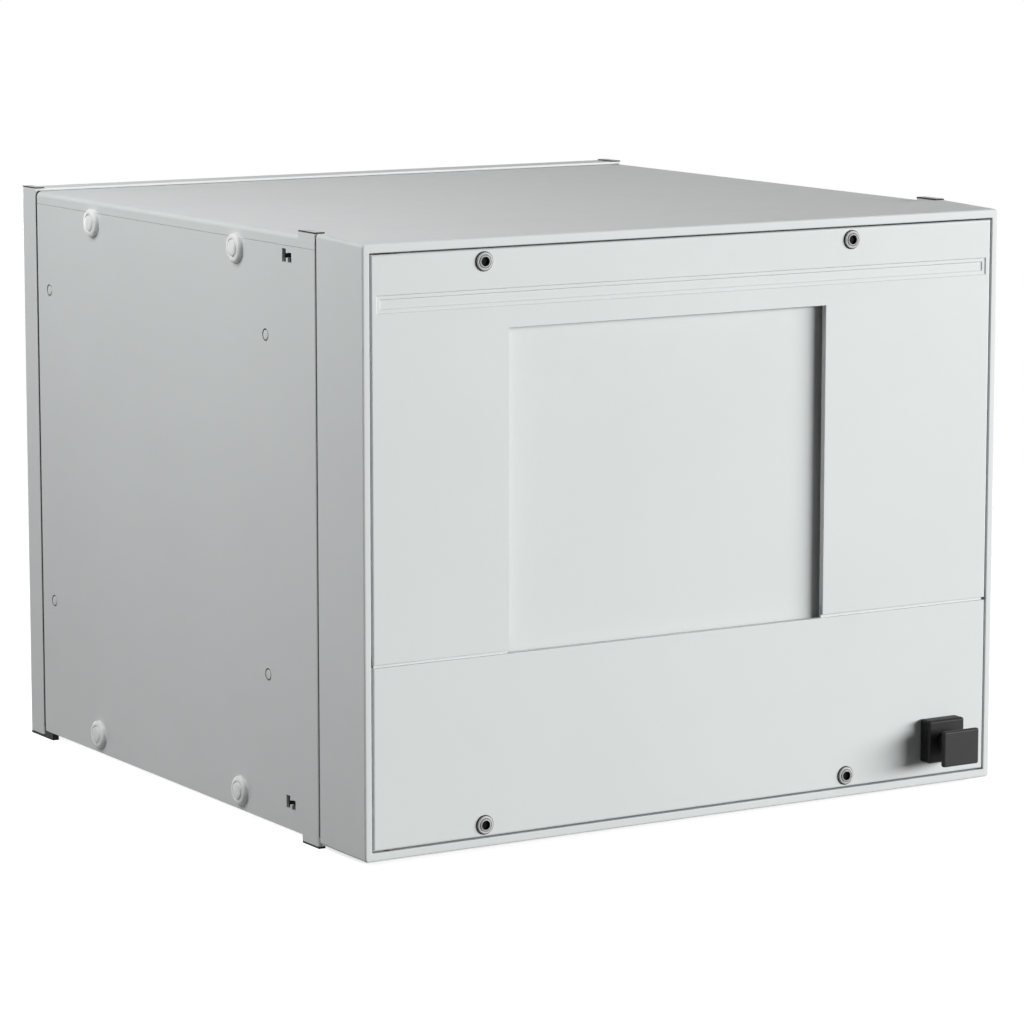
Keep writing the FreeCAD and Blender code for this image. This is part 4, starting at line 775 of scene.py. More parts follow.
def blade_tree():
    """Blades set round an axis along Y."""
    tree = Tree("blades", Master="Object", Blades="Int", Middle="Vector")
    start = tree.start
    points = tree.add("GeometryNodeMeshLine", {"mode": "OFFSET"}, Count=start["Blades"], Offset=(0, 0, 0))["Mesh"]
    index = tree.add("GeometryNodeInputIndex")["Index"]
    turn = tree.sum("DIVIDE", tree.sum("MULTIPLY", index, TAU), start["Blades"])
    master = tree.add("GeometryNodeObjectInfo", Object=start["Master"], As_Instance=True)["Geometry"]
    blades = tree.add("GeometryNodeInstanceOnPoints", Points=points, Instance=master,
                      Rotation=tree.vector(Y=turn))["Instances"]
    whole = tree.join(start["Geometry"], blades)
    return tree.end(tree.add("GeometryNodeTransform", Geometry=whole, Translation=start["Middle"])["Geometry"])


# Pieces

class Builder:
    """Shared run of the operators: build with the scene's sizes, or raise an error."""

    def execute(self, context):
        self.build(context.scene.oven_sizes)
        return {"FINISHED"}


class OVEN_OT_front_frame(Builder, bpy.types.Operator):
    """Build the thick painted frame round the door"""
    bl_idname = "oven.front_frame"
    bl_label = "Front frame"

    def build(self, sizes):
        low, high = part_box("front_frame")
        door_low, door_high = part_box("door_lower_panel")[0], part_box("door_upper_panel")[1]
        edge, gap, back, corner = sizes.frame_edge, sizes.door_gap, 0.5 * MM, 2.5 * MM

        def outer(inset, y):
            top = high.z - sizes.top_rise * (high.y - y) / (high.y - low.y)
            return rectangle_ring((low.x + inset, low.z + inset), (high.x - inset, top - inset),
                                  max(corner - inset, 0.3 * MM), y)

        def inner(growth, y):
            reach = gap + growth
            return rectangle_ring((door_low.x - reach, door_low.z - reach),
                                  (door_high.x + reach, door_high.z + reach), 0.4 * MM + growth, y)

        steps = [math.pi / 2 * i / 5 for i in range(6)]
        rings = [outer(back, high.y), outer(0, high.y - back)]
        rings += [outer(edge * (1 - math.cos(a)), low.y + edge * (1 - math.sin(a))) for a in steps]
        soft = edge / 2
        rings += [inner(soft * (1 - math.sin(a)), low.y + soft * (1 - math.cos(a))) for a in steps]
        rings += [inner(0, high.y)]
        piece_of("front_frame_ring", skin(rings, wrap=True), "light_paint", "front_frame")


class OVEN_OT_door_panels(Builder, bpy.types.Operator):
    """Build the painted front panels of the door and the floor of the wide recess"""
    bl_idname = "oven.door_panels"
    bl_label = "Door panels"

    def build(self, sizes):
        low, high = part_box("door_upper_panel")
        blank_low, blank_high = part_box("window_blank")
        left, right = blank_low.x + BLANK_LAP, blank_high.x - BLANK_LAP
        shape = whole_faces("door_upper_panel")
        floor = next(face for face in shape.faces
                     if all(abs(vert.co.y - low.y - STRIP_DEPTH) < NEAR for vert in face.verts)
                     and face.calc_center_median().z < high.z - 5 * MM)
        middle = floor.calc_center_median()
        strip_reach = 8 * MM

        def front_edge(edge):
            """True for a long edge of the front, except round the strip and at the left of the wide recess."""
            by_strip = abs((edge.verts[0].co.z + edge.verts[1].co.z) / 2 - middle.z) < strip_reach
            return long_edge(edge) and on_level(edge, 1, low.y) and not (by_strip or on_level(edge, 0, left))

        self.cut_steps(shape, floor, middle, low.y, sizes.strip_step)
        round_over(shape, sizes.panel_edge, front_edge)
        piece_of("door_upper_panel_dressed", shape, "light_paint", "door_upper_panel", body="door", outward=False)
        dressed("door_lower_panel", sizes.panel_edge, front_edge)
        dressed("window_blank", sizes.panel_edge)
        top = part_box("door_lower_panel")[1].z
        lap = 0.1 * MM
        strips = [block((start, low.y + 1.0 * MM, top - lap), (end, high.y - 0.2 * MM, low.z + lap), 0.05 * MM)
                  for start, end in ((low.x, left), (right, high.x))]
        piece_of("groove_floor", joined(*strips), "light_paint", body="door")

    def cut_steps(self, shape, floor, middle, face, step):
        """Slant the wall of the long narrow recess, and add a ledge and a second slanted wall inside it."""
        ledge = 2.0 * MM
        for vert in floor.verts:
            vert.co.y = face + step
            for axis in (0, 2):
                vert.co[axis] += math.copysign(step, middle[axis] - vert.co[axis])
        for width, depth in ((ledge, 0.0), (step, step)):
            bmesh.ops.inset_region(shape, faces=[floor], thickness=width, depth=-depth, use_even_offset=True)


class OVEN_OT_door_screws(Builder, bpy.types.Operator):
    """Build the socket screws of the door, the cup washers under them and black rings round the washers, which are
    painted shade for the washers' shaded rims
    """
    bl_idname = "oven.door_screws"
    bl_label = "Door screws"

    def build(self, sizes):
        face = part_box("door_upper_panel")[0].y
        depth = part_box("door_screws")[1].y - face
        spots = spots_on("door_washers", 1, face, -1)
        # Black ring round each washer: painted shade that stands in for the shadow on the washer's rounded rim.
        washer_shade_profile = mm((6.5, 0), (6.5, 0.35), (6.3, 0.7), (5.6, 0.9), (4.4, 0.9), (4.4, 0))
        spread("screw_gaskets", turned(washer_shade_profile, 40, wrap=True), spots, "black_plastic", body="door")
        cup = mm((5.9, 0.3), (5.9, 0.9), (5.75, 1.2), (5.35, 1.48), (4.9, 1.6), (4.55, 1.5), (4.4, 1.2),
                 (4.35, 0.3))
        spread("cup_washers", turned(cup, 40, wrap=True), spots, "satin_steel", "door_washers", body="door",
               slot="bright_steel")
        rim = mm((4.05, 0.6), (4.05, 1.35), (3.85, 1.8), (3.5, 2.02), (3.25, 2.03), (3.1, 1.85), (3.1, 0.6))
        spread("screw_rims", turned(rim, 40, wrap=True), spots, "satin_steel", body="door", slot="bright_steel")
        end = -depth / MM
        head = mm((2.2, end), (2.5, end + 0.4), (2.5, 0), (3.95, 0), (3.95, 1.3), (3.3, 1.75), (3.05, 1.8))
        spread("socket_screws", recessed_head(head, hexagon, 2.95 * MM, 1.6 * MM), spots, "black_steel",
               "door_screws", body="door", spin=1.0, seed=4)


class OVEN_OT_latch(Builder, bpy.types.Operator):
    """Build the knob, its base, and the spindle and cam behind it"""
    bl_idname = "oven.latch"
    bl_label = "Latch"

    def build(self, sizes):
        low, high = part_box("knob_base")
        piece_of("knob_block", block(low, high, 1.7 * MM, 5), "black_plastic", "knob_base", body="door")
        low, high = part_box("latch_knob")
        spindle_low, spindle_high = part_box("latch_spindle")
        axis = (spindle_low + spindle_high) / 2
        grip_back = low.y + 4 * MM
        neck = (high.y - grip_back) / MM
        profile = [(7, neck), (7, neck - 0.4), (7, 2.2), (7.5, 1.0), (8.6, 0.25), (10, -0.5)]
        stem = turned(mm(*profile), 40)
        along_y(stem, (axis.x, grip_back, axis.z))
        plate = block(low, (high.x, grip_back, high.z), 1.5 * MM, 5)
        # The grip is the base's black plastic, painted lighter as painted light for its lit face.
        piece_of("knob_grip", joined(plate, stem), "grip_plastic", "latch_knob", body="latch", slot="black_plastic")
        radius = (spindle_high.x - spindle_low.x) / 2
        reach = spindle_high.y - spindle_low.y
        pin = [(radius - 0.6 * MM, 0), (radius, 0.6 * MM), (radius, reach - 0.8 * MM), (radius - 0.8 * MM, reach)]
        shape = along_y(turned(pin, 32), (axis.x, spindle_low.y, axis.z))
        piece_of("latch_pin", shape, "bright_steel", "latch_spindle", body="latch")
        dressed("latch_cam", 0.4 * MM)


class OVEN_OT_body_panels(Builder, bpy.types.Operator):
    """Build the painted side, top and rear panels, and dark strips in their seams as painted shade"""
    bl_idname = "oven.body_panels"
    bl_label = "Body panels"

    def build(self, sizes):
        low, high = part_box("top_panel")
        half, level, joint = high.x, high.z, low.z

        def on_skin(point):
            """True for a point on the outside of the wrapped sides and top."""
            across, up = abs(point.x) - half + BEND, point.z - level + BEND
            reach = math.hypot(across, up) if min(across, up) > 0 else max(across, up)
            return abs(reach - BEND) < 0.1 * MM

        def end_edge(edge):
            return (on_level(edge, 1, low.y) or on_level(edge, 1, high.y)) and \
                all(on_skin(vert.co) for vert in edge.verts)

        slots = solids("frame_clips")
        side_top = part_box("side_panel_left")[1].z
        ears = 10 * MM

        def free_edge(edge):
            """True for a long edge above the ears, neither at the panels' joint nor round a clip slot."""
            place = (edge.verts[0].co + edge.verts[1].co) / 2
            in_slot = any(first.y < place.y < last.y and first.z < place.z < last.z for first, last in slots)
            at_joint = on_level(edge, 2, joint) or on_level(edge, 2, side_top)
            return long_edge(edge) and place.z > ears and not (in_slot or at_joint)

        for node in ("side_panel_left", "side_panel_right", "top_panel"):
            shape = whole_faces(node)
            round_over(shape, sizes.body_edge, end_edge, 4)
            round_over(shape, sizes.sheet_edge, free_edge)
            piece_of(node + "_dressed", shape, "light_paint", node, outward=False)
        dressed("rear_cover", 0.8 * MM)
        self.seam_strips(sizes, half, level)

    def seam_strips(self, sizes, half, level):
        """Dark strips in the front and rear seams of the body, painted shade that stands in for the shadow inside
        the gaps, and a painted one over the rear seam's top.
        """
        low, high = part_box("top_panel")
        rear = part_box("rear_cover")[0].y
        foot, side, lap = 5.5 * MM, 4 * MM, 0.5 * MM
        strips = []
        for start, end, inner in ((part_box("front_frame")[1].y, low.y, 6 * MM), (high.y, rear, 2.1 * MM)):
            rings = []
            for inset, y in ((sizes.seam_depth, start), (sizes.seam_depth, end), (inner, end), (inner, start)):
                rings.append(rectangle_ring((inset - half, foot + inset), (half - inset, level - inset),
                                            max(BEND - inset, 0.5 * MM), y))
            strips.append(skin(rings, wrap=True))
        # Dark strips in the seams: painted shade standing in for the shadow inside the gaps.
        piece_of("seam_strips", joined(*strips), "dark_plastic")
        fill = block((side - half, high.y - lap, level - side), (half - side, rear + lap, level - 0.1 * MM),
                     0.05 * MM)
        piece_of("rear_seam_fill", fill, "light_paint")


class OVEN_OT_corner_ends(Builder, bpy.types.Operator):
    """Build the caps on the body's top corners, the feet under it and the clips in its side slots"""
    bl_idname = "oven.corner_ends"
    bl_label = "Corner caps, feet and clips"

    def build(self, sizes):
        thick, rim, top, root, slack = 1.0 * MM, 0.7 * MM, 0.4 * MM, 4 * MM, 0.05 * MM
        inset = Vector((rim, rim, 0))
        dark, light, plinths = [], [], []
        for low, high in solids("corner_caps"):
            seat = high.z - thick
            if seat > low.z:
                plinths.append(block(low + Vector((slack, slack, -root)), (high.x - slack, high.y, seat), 0.2 * MM))
            else:
                seat = low.z
            dark.append(block((low.x, low.y, seat), high - Vector((0, 0, 0.1 * MM)), 0.2 * MM))
            # A thin grey layer on each dark cap's top: painted sheen where the light falls on it.
            light.append(block(Vector((low.x, low.y, high.z - top)) + inset, high - inset, 0.1 * MM))
        piece_of("corner_cap_rims", joined(*dark), "dark_plastic", "corner_caps")
        piece_of("corner_cap_tops", joined(*light), "cap_plastic", slot="dark_plastic")
        piece_of("corner_cap_seats", joined(*plinths), "light_paint")
        dressed("corner_feet", 0.3 * MM)
        # The clips get a dead black: painted shade for the shadow inside the slots, over their own black.
        dressed("frame_clips", 0.3 * MM, look="slot_black")


class OVEN_OT_side_fittings(Builder, bpy.types.Operator):
    """Build the round plugs, the flush rivets and the dark rings round the rivets, which are painted shade for the
    gaps round their heads
    """
    bl_idname = "oven.side_fittings"
    bl_label = "Side plugs and rivets"

    def build(self, sizes):
        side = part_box("side_panel_right")[1].x
        for node, name, profile in (
                ("side_plugs", "round_plugs",
                 [(3.9, -6), (4.4, -5.4), (4.4, -4.2), (4.0, -3.4), (4.0, 0), (9.75, 0), (9.75, 1.8), (9.5, 2.5),
                  (9.0, 2.95), (8.2, 3.3), (7.2, 3.5), (6.5, 3.5), (6.3, 3.2), (6.2, 2.5), (5.7, 2.5), (5.55, 3.3),
                  (5.3, 3.8), (4.9, 4.0), (2.0, 4.0)]),
                ("side_rivets", "flush_rivets",
                 [(2.0, -4), (2.0, -0.95), (3.3, -0.95), (3.3, -0.3), (3.15, -0.08), (2.95, 0.0), (1.5, 0.0)])):
            spots = []
            for low, high in solids(node):
                way = 1 if low.x + high.x > 0 else -1
                spots.append((Vector((way * side, (low.y + high.y) / 2, (low.z + high.z) / 2)), (way, 0, 0)))
            spread(name, turned(mm(*profile), 48), spots, SLOT_OF[node], node)
        # Dark ring in the gap round each rivet head: painted shade that stands in for the shadow in that gap.
        ring = turned(mm((2.1, -0.98), (4.1, -0.98), (4.1, -0.4), (2.1, -0.4)), 48, wrap=True)
        spread("rivet_rings", ring, spots, "dark_plastic")


class OVEN_OT_rear_fittings(Builder, bpy.types.Operator):
    """Build the rear screws, the exhaust spigot, the inlet, the switch and the data socket"""
    bl_idname = "oven.rear_fittings"
    bl_label = "Rear fittings"

    def build(self, sizes):
        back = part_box("rear_cover")[1].y
        spread("cross_screws", pan_screw(), spots_on("rear_screws", 1, back, 1), "bright_steel", "rear_screws",
               spin=1.5, seed=7)
        self.spigot(back)
        self.inlet(back)
        self.switch(back)
        self.data_socket(back)

    def spigot(self, back):
        """The exhaust tube with its flange, rivets and two rolled grooves."""
        low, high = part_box("exhaust_spigot")
        middle = (low + high) / 2
        seat, end = (back - low.y) / MM, (high.y - low.y) / MM
        flange, bolt_circle = 2.5, 36.5 * MM
        outline = mm((28, 0.3), (28.3, 0), (29.7, 0), (30, 0.3), (30, seat), (41.4, seat), (42, seat + 0.5),
                     (42, seat + 1.9), (41.4, seat + flange), (32.6, seat + flange), (31, seat + 3),
                     (30.2, seat + 4.2), (30, seat + 5.4), (30, end - 13), (29.4, end - 12.4), (29.2, end - 11.5),
                     (29.4, end - 10.6), (30, end - 10), (30, end - 7), (29.4, end - 6.4), (29.2, end - 5.5),
                     (29.4, end - 4.6), (30, end - 4), (30, end - 0.8), (29.6, end - 0.1), (29, end),
                     (28.4, end - 0.1), (28, end - 0.8))
        shape = along_y(turned(outline, 64, wrap=True), (middle.x, low.y, middle.z))
        piece_of("exhaust_tube", shape, "stainless", "exhaust_spigot")
        spots = []
        for number in range(4):
            angle = TAU * (number + 0.5) / 4
            spots.append(((middle.x + bolt_circle * math.cos(angle), back + flange * MM,
                           middle.z + bolt_circle * math.sin(angle)), (0, 1, 0)))
        dome = turned(mm((3, -0.2), (3, 0.2), (2.6, 0.8), (1.8, 1.2), (0.8, 1.4)), 24)
        spread("spigot_rivets", dome, spots, "bright_steel")

    def inlet(self, back):
        """The inlet with bare blades and two countersunk screws in its rim."""
        piece = dressed("power_inlet", 0.4 * MM)
        middle = middle_of("power_inlet")
        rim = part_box("power_inlet")[1].y
        floor = rim - 14.9 * MM
        pitch, half_width, half_height = 7 * MM, 1.2 * MM, 2.2 * MM
        piece.data.materials.append(finish("brass"))
        for face in piece.data.polygons:
            x, _, z = face.center - middle
            near_blade = min(abs(x - step * pitch) for step in (-1, 0, 1)) < half_width
            if near_blade and abs(z) < half_height and floor < face.center.y < back + 0.2 * MM:
                face.material_index = 1
        spots = [((middle.x + way * 18 * MM, rim, middle.z), (0, 1, 0)) for way in (-1, 1)]
        head = mm((2.9, -0.3), (2.95, 0.0), (2.8, 0.25), (1.9, 0.45))
        spread("inlet_screws", recessed_head(head, cross, 1.6 * MM, 0.7 * MM), spots, "bright_steel", spin=1.5,
               seed=3)

    def switch(self, back):
        """The switch and its rocker, with the usual marks for on and off."""
        dressed("switch_body", 0.4 * MM)
        dressed("power_rocker", 0.35 * MM)
        tilt = math.radians(8)
        reach, apart = 4 * MM, 4.4 * MM
        axis = middle_of("switch_body")
        axis.y = back
        out, up = Vector((0, math.cos(tilt), math.sin(tilt))), Vector((0, -math.sin(tilt), math.cos(tilt)))
        face = axis + out * reach
        bar = facing(block((-0.4 * MM, -1.7 * MM, -0.1 * MM), (0.4 * MM, 1.7 * MM, 0.12 * MM), 0.06 * MM),
                     face + up * apart, up, out)
        ring = facing(turned(mm((1.2, -0.1), (1.2, 0.12), (1.85, 0.12), (1.85, -0.1)), 32, wrap=True),
                      face - up * apart, up, out)
        piece_of("rocker_marks", joined(bar, ring), "white_plastic", body="switch_rocker")

    def data_socket(self, back):
        """The data socket with its metal lining and tongue."""
        dressed("data_socket", 0.3 * MM)
        middle = middle_of("data_socket")
        deep = back - 9.6 * MM

        def ring(inset, y):
            wide, tall = 4.45 * MM - inset, 1.95 * MM - inset
            return rectangle_ring((middle.x - wide, middle.z - tall), (middle.x + wide, middle.z + tall),
                                  1.3 * MM - inset, y)

        shape = skin([ring(0, deep), ring(0, back + 0.2 * MM), ring(0.15 * MM, back + 0.35 * MM),
                      ring(0.4 * MM, back + 0.2 * MM), ring(0.4 * MM, deep)], wrap=True)
        piece_of("data_lining", shape, "bright_steel")
        tongue = block((middle.x - 3.2 * MM, deep, middle.z - 0.35 * MM),
                       (middle.x + 3.2 * MM, back - 1.5 * MM, middle.z + 0.35 * MM), 0.12 * MM)
        piece_of("data_tongue", tongue, "black_plastic")


def pan_screw():
    """A cross-recess pan head screw about Z, its head standing on Z = 0."""
    head = mm((1.2, -10), (1.8, -9.2), (1.8, 0), (3.4, 0), (3.5, 0.3), (3.4, 0.9), (3.05, 1.45), (2.55, 1.8),
              (1.95, 2.0))
    return recessed_head(head, cross, 1.75 * MM, 1.2 * MM, 32)


class OVEN_OT_cooling_fan(Builder, bpy.types.Operator):
    """Build the cooling fan's frame, rotor and wire guard"""
    bl_idname = "oven.cooling_fan"
    bl_label = "Cooling fan"

    def build(self, sizes):
        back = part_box("rear_cover")[1].y
        dressed("cooling_fan_frame", 0.5 * MM)
        half = 9 * MM
        frame_middle = middle_of("cooling_fan_frame")
        middle = Vector((frame_middle.x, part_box("cooling_rotor")[1].y - half, frame_middle.z))
        hub = along_y(turned(mm((1.7, -13.9), (2, -13.5), (2, -9), (15.6, -9), (16.6, -8.6), (17, -7.6), (17, 7.4),
                                (16.6, 8.5), (15.8, 9), (13.2, 9), (12.8, 8.6), (2, 8.6)), 48), (0, 0, 0))
        rotor = bladed("rotor_wheel", hub, rotor_blade(), sizes.rotor_blades, middle, "black_plastic")
        settle(rotor, "cooling_wheel", "black_plastic", "cooling_rotor")
        wire = (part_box("fan_guard")[1].y - back) / 2
        guard = grown("wire_guard", guard_tree(), "bright_steel", Rings=sizes.guard_rings, Step=10 * MM, Wire=wire,
                      Middle=(middle.x, back + wire, middle.z))
        settle(guard, "case", "bright_steel", "fan_guard")
        reach = 33.5 * MM
        corners = [((middle.x + across * reach, back, middle.z + up * reach), (0, 1, 0))
                   for across in (-1, 1) for up in (-1, 1)]
        eye = turned([(5.8 * MM + wire * math.cos(TAU * i / 8), wire + wire * math.sin(TAU * i / 8))
                      for i in range(8)], 32, wrap=True)
        spread("guard_eyes", eye, corners, "bright_steel")
        washer = turned(mm((2, 2), (6.2, 2), (6.4, 2.2), (6.4, 2.8), (6.2, 3), (2, 3)), 32, wrap=True)
        screw = pan_screw()
        for vert in screw.verts:
            vert.co.z += 3 * MM
        spread("guard_screws", joined(washer, screw), corners, "bright_steel", spin=1.5, seed=5)


def rotor_blade():
    """A twisted, cambered fan blade along X, for an axis along Y."""
    rings = []
    steps, rows = 8, 6
    root, span, half_thick, camber = 16.2, 20.2, 0.75 * MM, 1.6 * MM
    for row in range(rows + 1):
        share = row / rows
        radius = (root + span * share) * MM
        pitch = math.radians(24 + 28 * share)
        chord = (15.5 + 5 * share - 3 * max(0, share - 0.8) / 0.2) * MM
        path = [(i / steps, 1) for i in range(steps + 1)] + [(i / steps, -1) for i in range(steps - 1, 0, -1)]
        ring = []
        for along, face in path:
            thick = face * half_thick * math.sqrt(max(0.0, 1 - (2 * along - 1) ** 4))
            bow = camber * 4 * along * (1 - along) + thick
            step = (along - 0.5) * chord
            y = step * math.cos(pitch) - bow * math.sin(pitch)
            turn = (step * math.sin(pitch) + bow * math.cos(pitch)) / radius
            ring.append((radius * math.cos(turn), y, radius * math.sin(turn)))
        rings.append(ring)
    return skin(rings)


def bladed(name, hub, blade, count, middle, look):
    """A hub about Y with blades set round it."""
    master = new_object(name + "_blade", mesh_of(name + "_blade", blade))
    piece = grown(name, blade_tree(), look, mesh_of(name + "_hub", hub), Master=master, Blades=count, Middle=middle)
    bpy.data.objects.remove(master)
    return piece


class OVEN_OT_chamber(Builder, bpy.types.Operator):
    """Build the lining of the heating chamber, its bulkhead, seal, runners and baffle"""
    bl_idname = "oven.chamber"
    bl_label = "Heating chamber"

    def build(self, sizes):
        for node in ("chamber_floor", "chamber_roof", "chamber_left_wall", "chamber_right_wall",
                     "chamber_rear_wall", "rack_runners", "fan_baffle", "front_bulkhead"):
            dressed(node, 0.4 * MM)
        for node in ("insulation_slabs", "insulation_sides", "insulation_rear"):
            dressed(node, 1.5 * MM)
        low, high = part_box("door_seal")
        deep = high.y - low.y
        section = ((0, 1), (0.3, 0.76), (1.3, 0.54), (2.4, 0.26), (4, 0.07), (6, 0), (8, 0.07), (9.6, 0.26),
                   (10.7, 0.54), (11.7, 0.76), (12, 1))
        rings = []
        for inset, share in section:
            inset *= MM
            rings.append(rectangle_ring((low.x + inset, low.z + inset), (high.x - inset, high.z - inset),
                                        15 * MM - inset, low.y + share * deep, 8))
        piece_of("seal_bead", skin(rings, wrap=True), "silicone", "door_seal")
        wire = 0.9 * MM
        fan, plate = middle_of("fan_motor"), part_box("fan_baffle")[0].y
        guard = grown("baffle_grille", guard_tree(), "stainless", Rings=sizes.guard_rings + 1, Step=8.2 * MM,
                      Wire=wire, Middle=(fan.x, plate - wire, fan.z))
        settle(guard, "case", "stainless")


class OVEN_OT_heaters(Builder, bpy.types.Operator):
    """Build the quartz heater tubes, their coils and holders"""
    bl_idname = "oven.heaters"
    bl_label = "Heaters"

    def build(self, sizes):
        dressed("heater_holders", 0.8 * MM)
        tubes = solids("heater_rods")
        reach = tubes[0][1].x - tubes[0][0].x
        spots = [(Vector((low.x, (low.y + high.y) / 2, (low.z + high.z) / 2)), (1, 0, 0)) for low, high in tubes]
        wall = [(3.9 * MM, 0), (4.6 * MM, 0), (5 * MM, 0.4 * MM), (5 * MM, reach - 0.4 * MM), (4.6 * MM, reach),
                (3.9 * MM, reach)]
        spread("quartz_tubes", turned(wall, 32, wrap=True), spots, "quartz", "heater_rods")
        margin = 14 * MM
        carrier = bpy.data.meshes.new("coil_points")
        carrier.from_pydata([(place.x + margin, place.y, place.z) for place, _ in spots], [], [])
        coils = grown("heater_coils", coil_tree(), "coil_wire", carrier, Turns=float(sizes.coil_turns),
                      Radius=2.9 * MM, Length=reach - 2 * margin, Wire=sizes.coil_wire)
        settle(coils, "case", "bright_steel")


class OVEN_OT_board_rack(Builder, bpy.types.Operator):
    """Build the wire rack that carries the boards"""
    bl_idname = "oven.board_rack"
    bl_label = "Board rack"

    def build(self, sizes):
        low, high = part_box("board_rack")
        rail = (high.z - low.z) / 2
        rack = grown("wire_rack", rack_tree(), "stainless", Width=high.x - low.x - 2 * rail,
                     Depth=high.y - low.y - 2 * rail, Bars=sizes.rack_bars, Rail=rail, Wire=2 * MM,
                     Corner=7 * MM, Middle=(low + high) / 2)
        settle(rack, "case", "stainless", "board_rack")


class OVEN_OT_convection_fan(Builder, bpy.types.Operator):
    """Build the convection fan, its shaft, motor and bracket, and the thermocouple"""
    bl_idname = "oven.convection_fan"
    bl_label = "Convection fan"

    def build(self, sizes):
        low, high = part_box("convection_fan")
        middle = Vector((0, high.y - 1.5 * MM, (low.z + high.z) / 2))
        hub = along_y(turned(mm((4.05, -16), (11.5, -16), (12, -15.5), (12, -2), (12.8, -0.6), (14.4, 0), (54.6, 0),
                                (55, 0.4), (55, 1.1), (54.6, 1.5), (4.05, 1.5)), 64, wrap=True), (0, 0, 0))
        wheel = bladed("radial_wheel", hub, wheel_blade(), sizes.wheel_blades, middle, "stainless")
        settle(wheel, "convection_wheel", "stainless", "convection_fan")
        low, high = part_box("fan_shaft")
        reach = (high.y - low.y) / MM
        rod = turned(mm((2.6, -6), (3, -5.6), (3, 0), (4, 0), (4, reach - 0.6), (3.4, reach)), 32)
        nut = hex_nut(6.4 * MM, 2.9 * MM, 4 * MM)
        for vert in nut.verts:
            vert.co.z -= 4.6 * MM
        ring = turned(mm((2.9, -0.6), (7.4, -0.6), (7.4, 0), (2.9, 0)), 32, wrap=True)
        shape = along_y(joined(rod, nut, ring), (middle.x, low.y, middle.z))
        piece_of("drive_shaft", shape, "bright_steel", "fan_shaft", body="convection_wheel")
        low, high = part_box("fan_motor")
        can = mm((4.05, 0), (11, 0), (11, 0.01), (34.6, 0.01), (36, 1.4), (36, 9.4), (35.3, 10), (35.3, 12),
                 (36, 12.6), (36, 42), (35.3, 42.6), (35.3, 44.6), (36, 45.2), (36, 53.6), (34.6, 55), (13, 55),
                 (12, 54), (4.05, 54))
        shape = along_y(turned(can, 64, wrap=True), (middle.x, low.y, middle.z))
        piece_of("motor_can", shape, "bright_steel", "fan_motor")
        dressed("motor_bracket", 0.5 * MM)
        low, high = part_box("thermocouple")
        reach = (high.y - low.y) / MM
        probe = mm((0.5, 0), (1.1, 0.3), (1.5, 1.1), (1.5, reach - 8), (4.5, reach - 8), (5, reach - 7.4),
                   (5, reach - 4.4), (4.4, reach - 4), (4.4, reach - 2.4), (3.8, reach), (1.5, reach))
        place = (low + high) / 2
        piece_of("probe", along_y(turned(probe, 24), (place.x, low.y, place.z)), "bright_steel", "thermocouple")


def wheel_blade():
    """A backward-curved blade along X, standing on a disc across Y."""
    rings = []
    rows = 8
    root, span, sweep = 11.6, 42.6, -0.55
    foot, half_thick = 0.4 * MM, 0.6 * MM
    for row in range(rows + 1):
        share = row / rows
        radius = (root + span * share) * MM
        turn = sweep * share ** 1.6
        front = (-15.6 + 2.4 * max(0, share - 0.7) / 0.3) * MM
        ring = []
        for side, y in ((-1, foot), (1, foot), (1, front), (-1, front)):
            angle = turn + side * half_thick / radius
            ring.append((radius * math.cos(angle), y, radius * math.sin(angle)))
        rings.append(ring)
    return skin(rings)


class OVEN_OT_door_inside(Builder, bpy.types.Operator):
    """Build the door's inner pan, filling, nuts and hinges"""
    bl_idname = "oven.door_inside"
    bl_label = "Door inside and hinges"

    def build(self, sizes):
        dressed("door_pan", 0.7 * MM)
        dressed("door_insulation", 1.5 * MM)
        dressed("hinge_blocks", 0.5 * MM)
        low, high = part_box("door_nuts")
        spots = spots_on("door_nuts", 1, low.y, 1)
        spread("door_hex_nuts", hex_nut(4.6 * MM, 2.6 * MM, high.y - low.y), spots, "bright_steel", "door_nuts",
               body="door", spin=1.0, seed=9)
        pins = solids("hinge_pins")
        reach = (pins[0][1].z - pins[0][0].z) / MM
        pin = turned(mm((1.7, 0), (2.3, 0.3), (2.5, 0.9), (2.5, reach - 0.9), (2.3, reach - 0.3), (1.7, reach)), 24)
        spots = [(Vector(((low.x + high.x) / 2, (low.y + high.y) / 2, low.z)), (0, 0, 1)) for low, high in pins]
        spread("hinge_rods", pin, spots, "black_steel", "hinge_pins", slot="bright_steel")


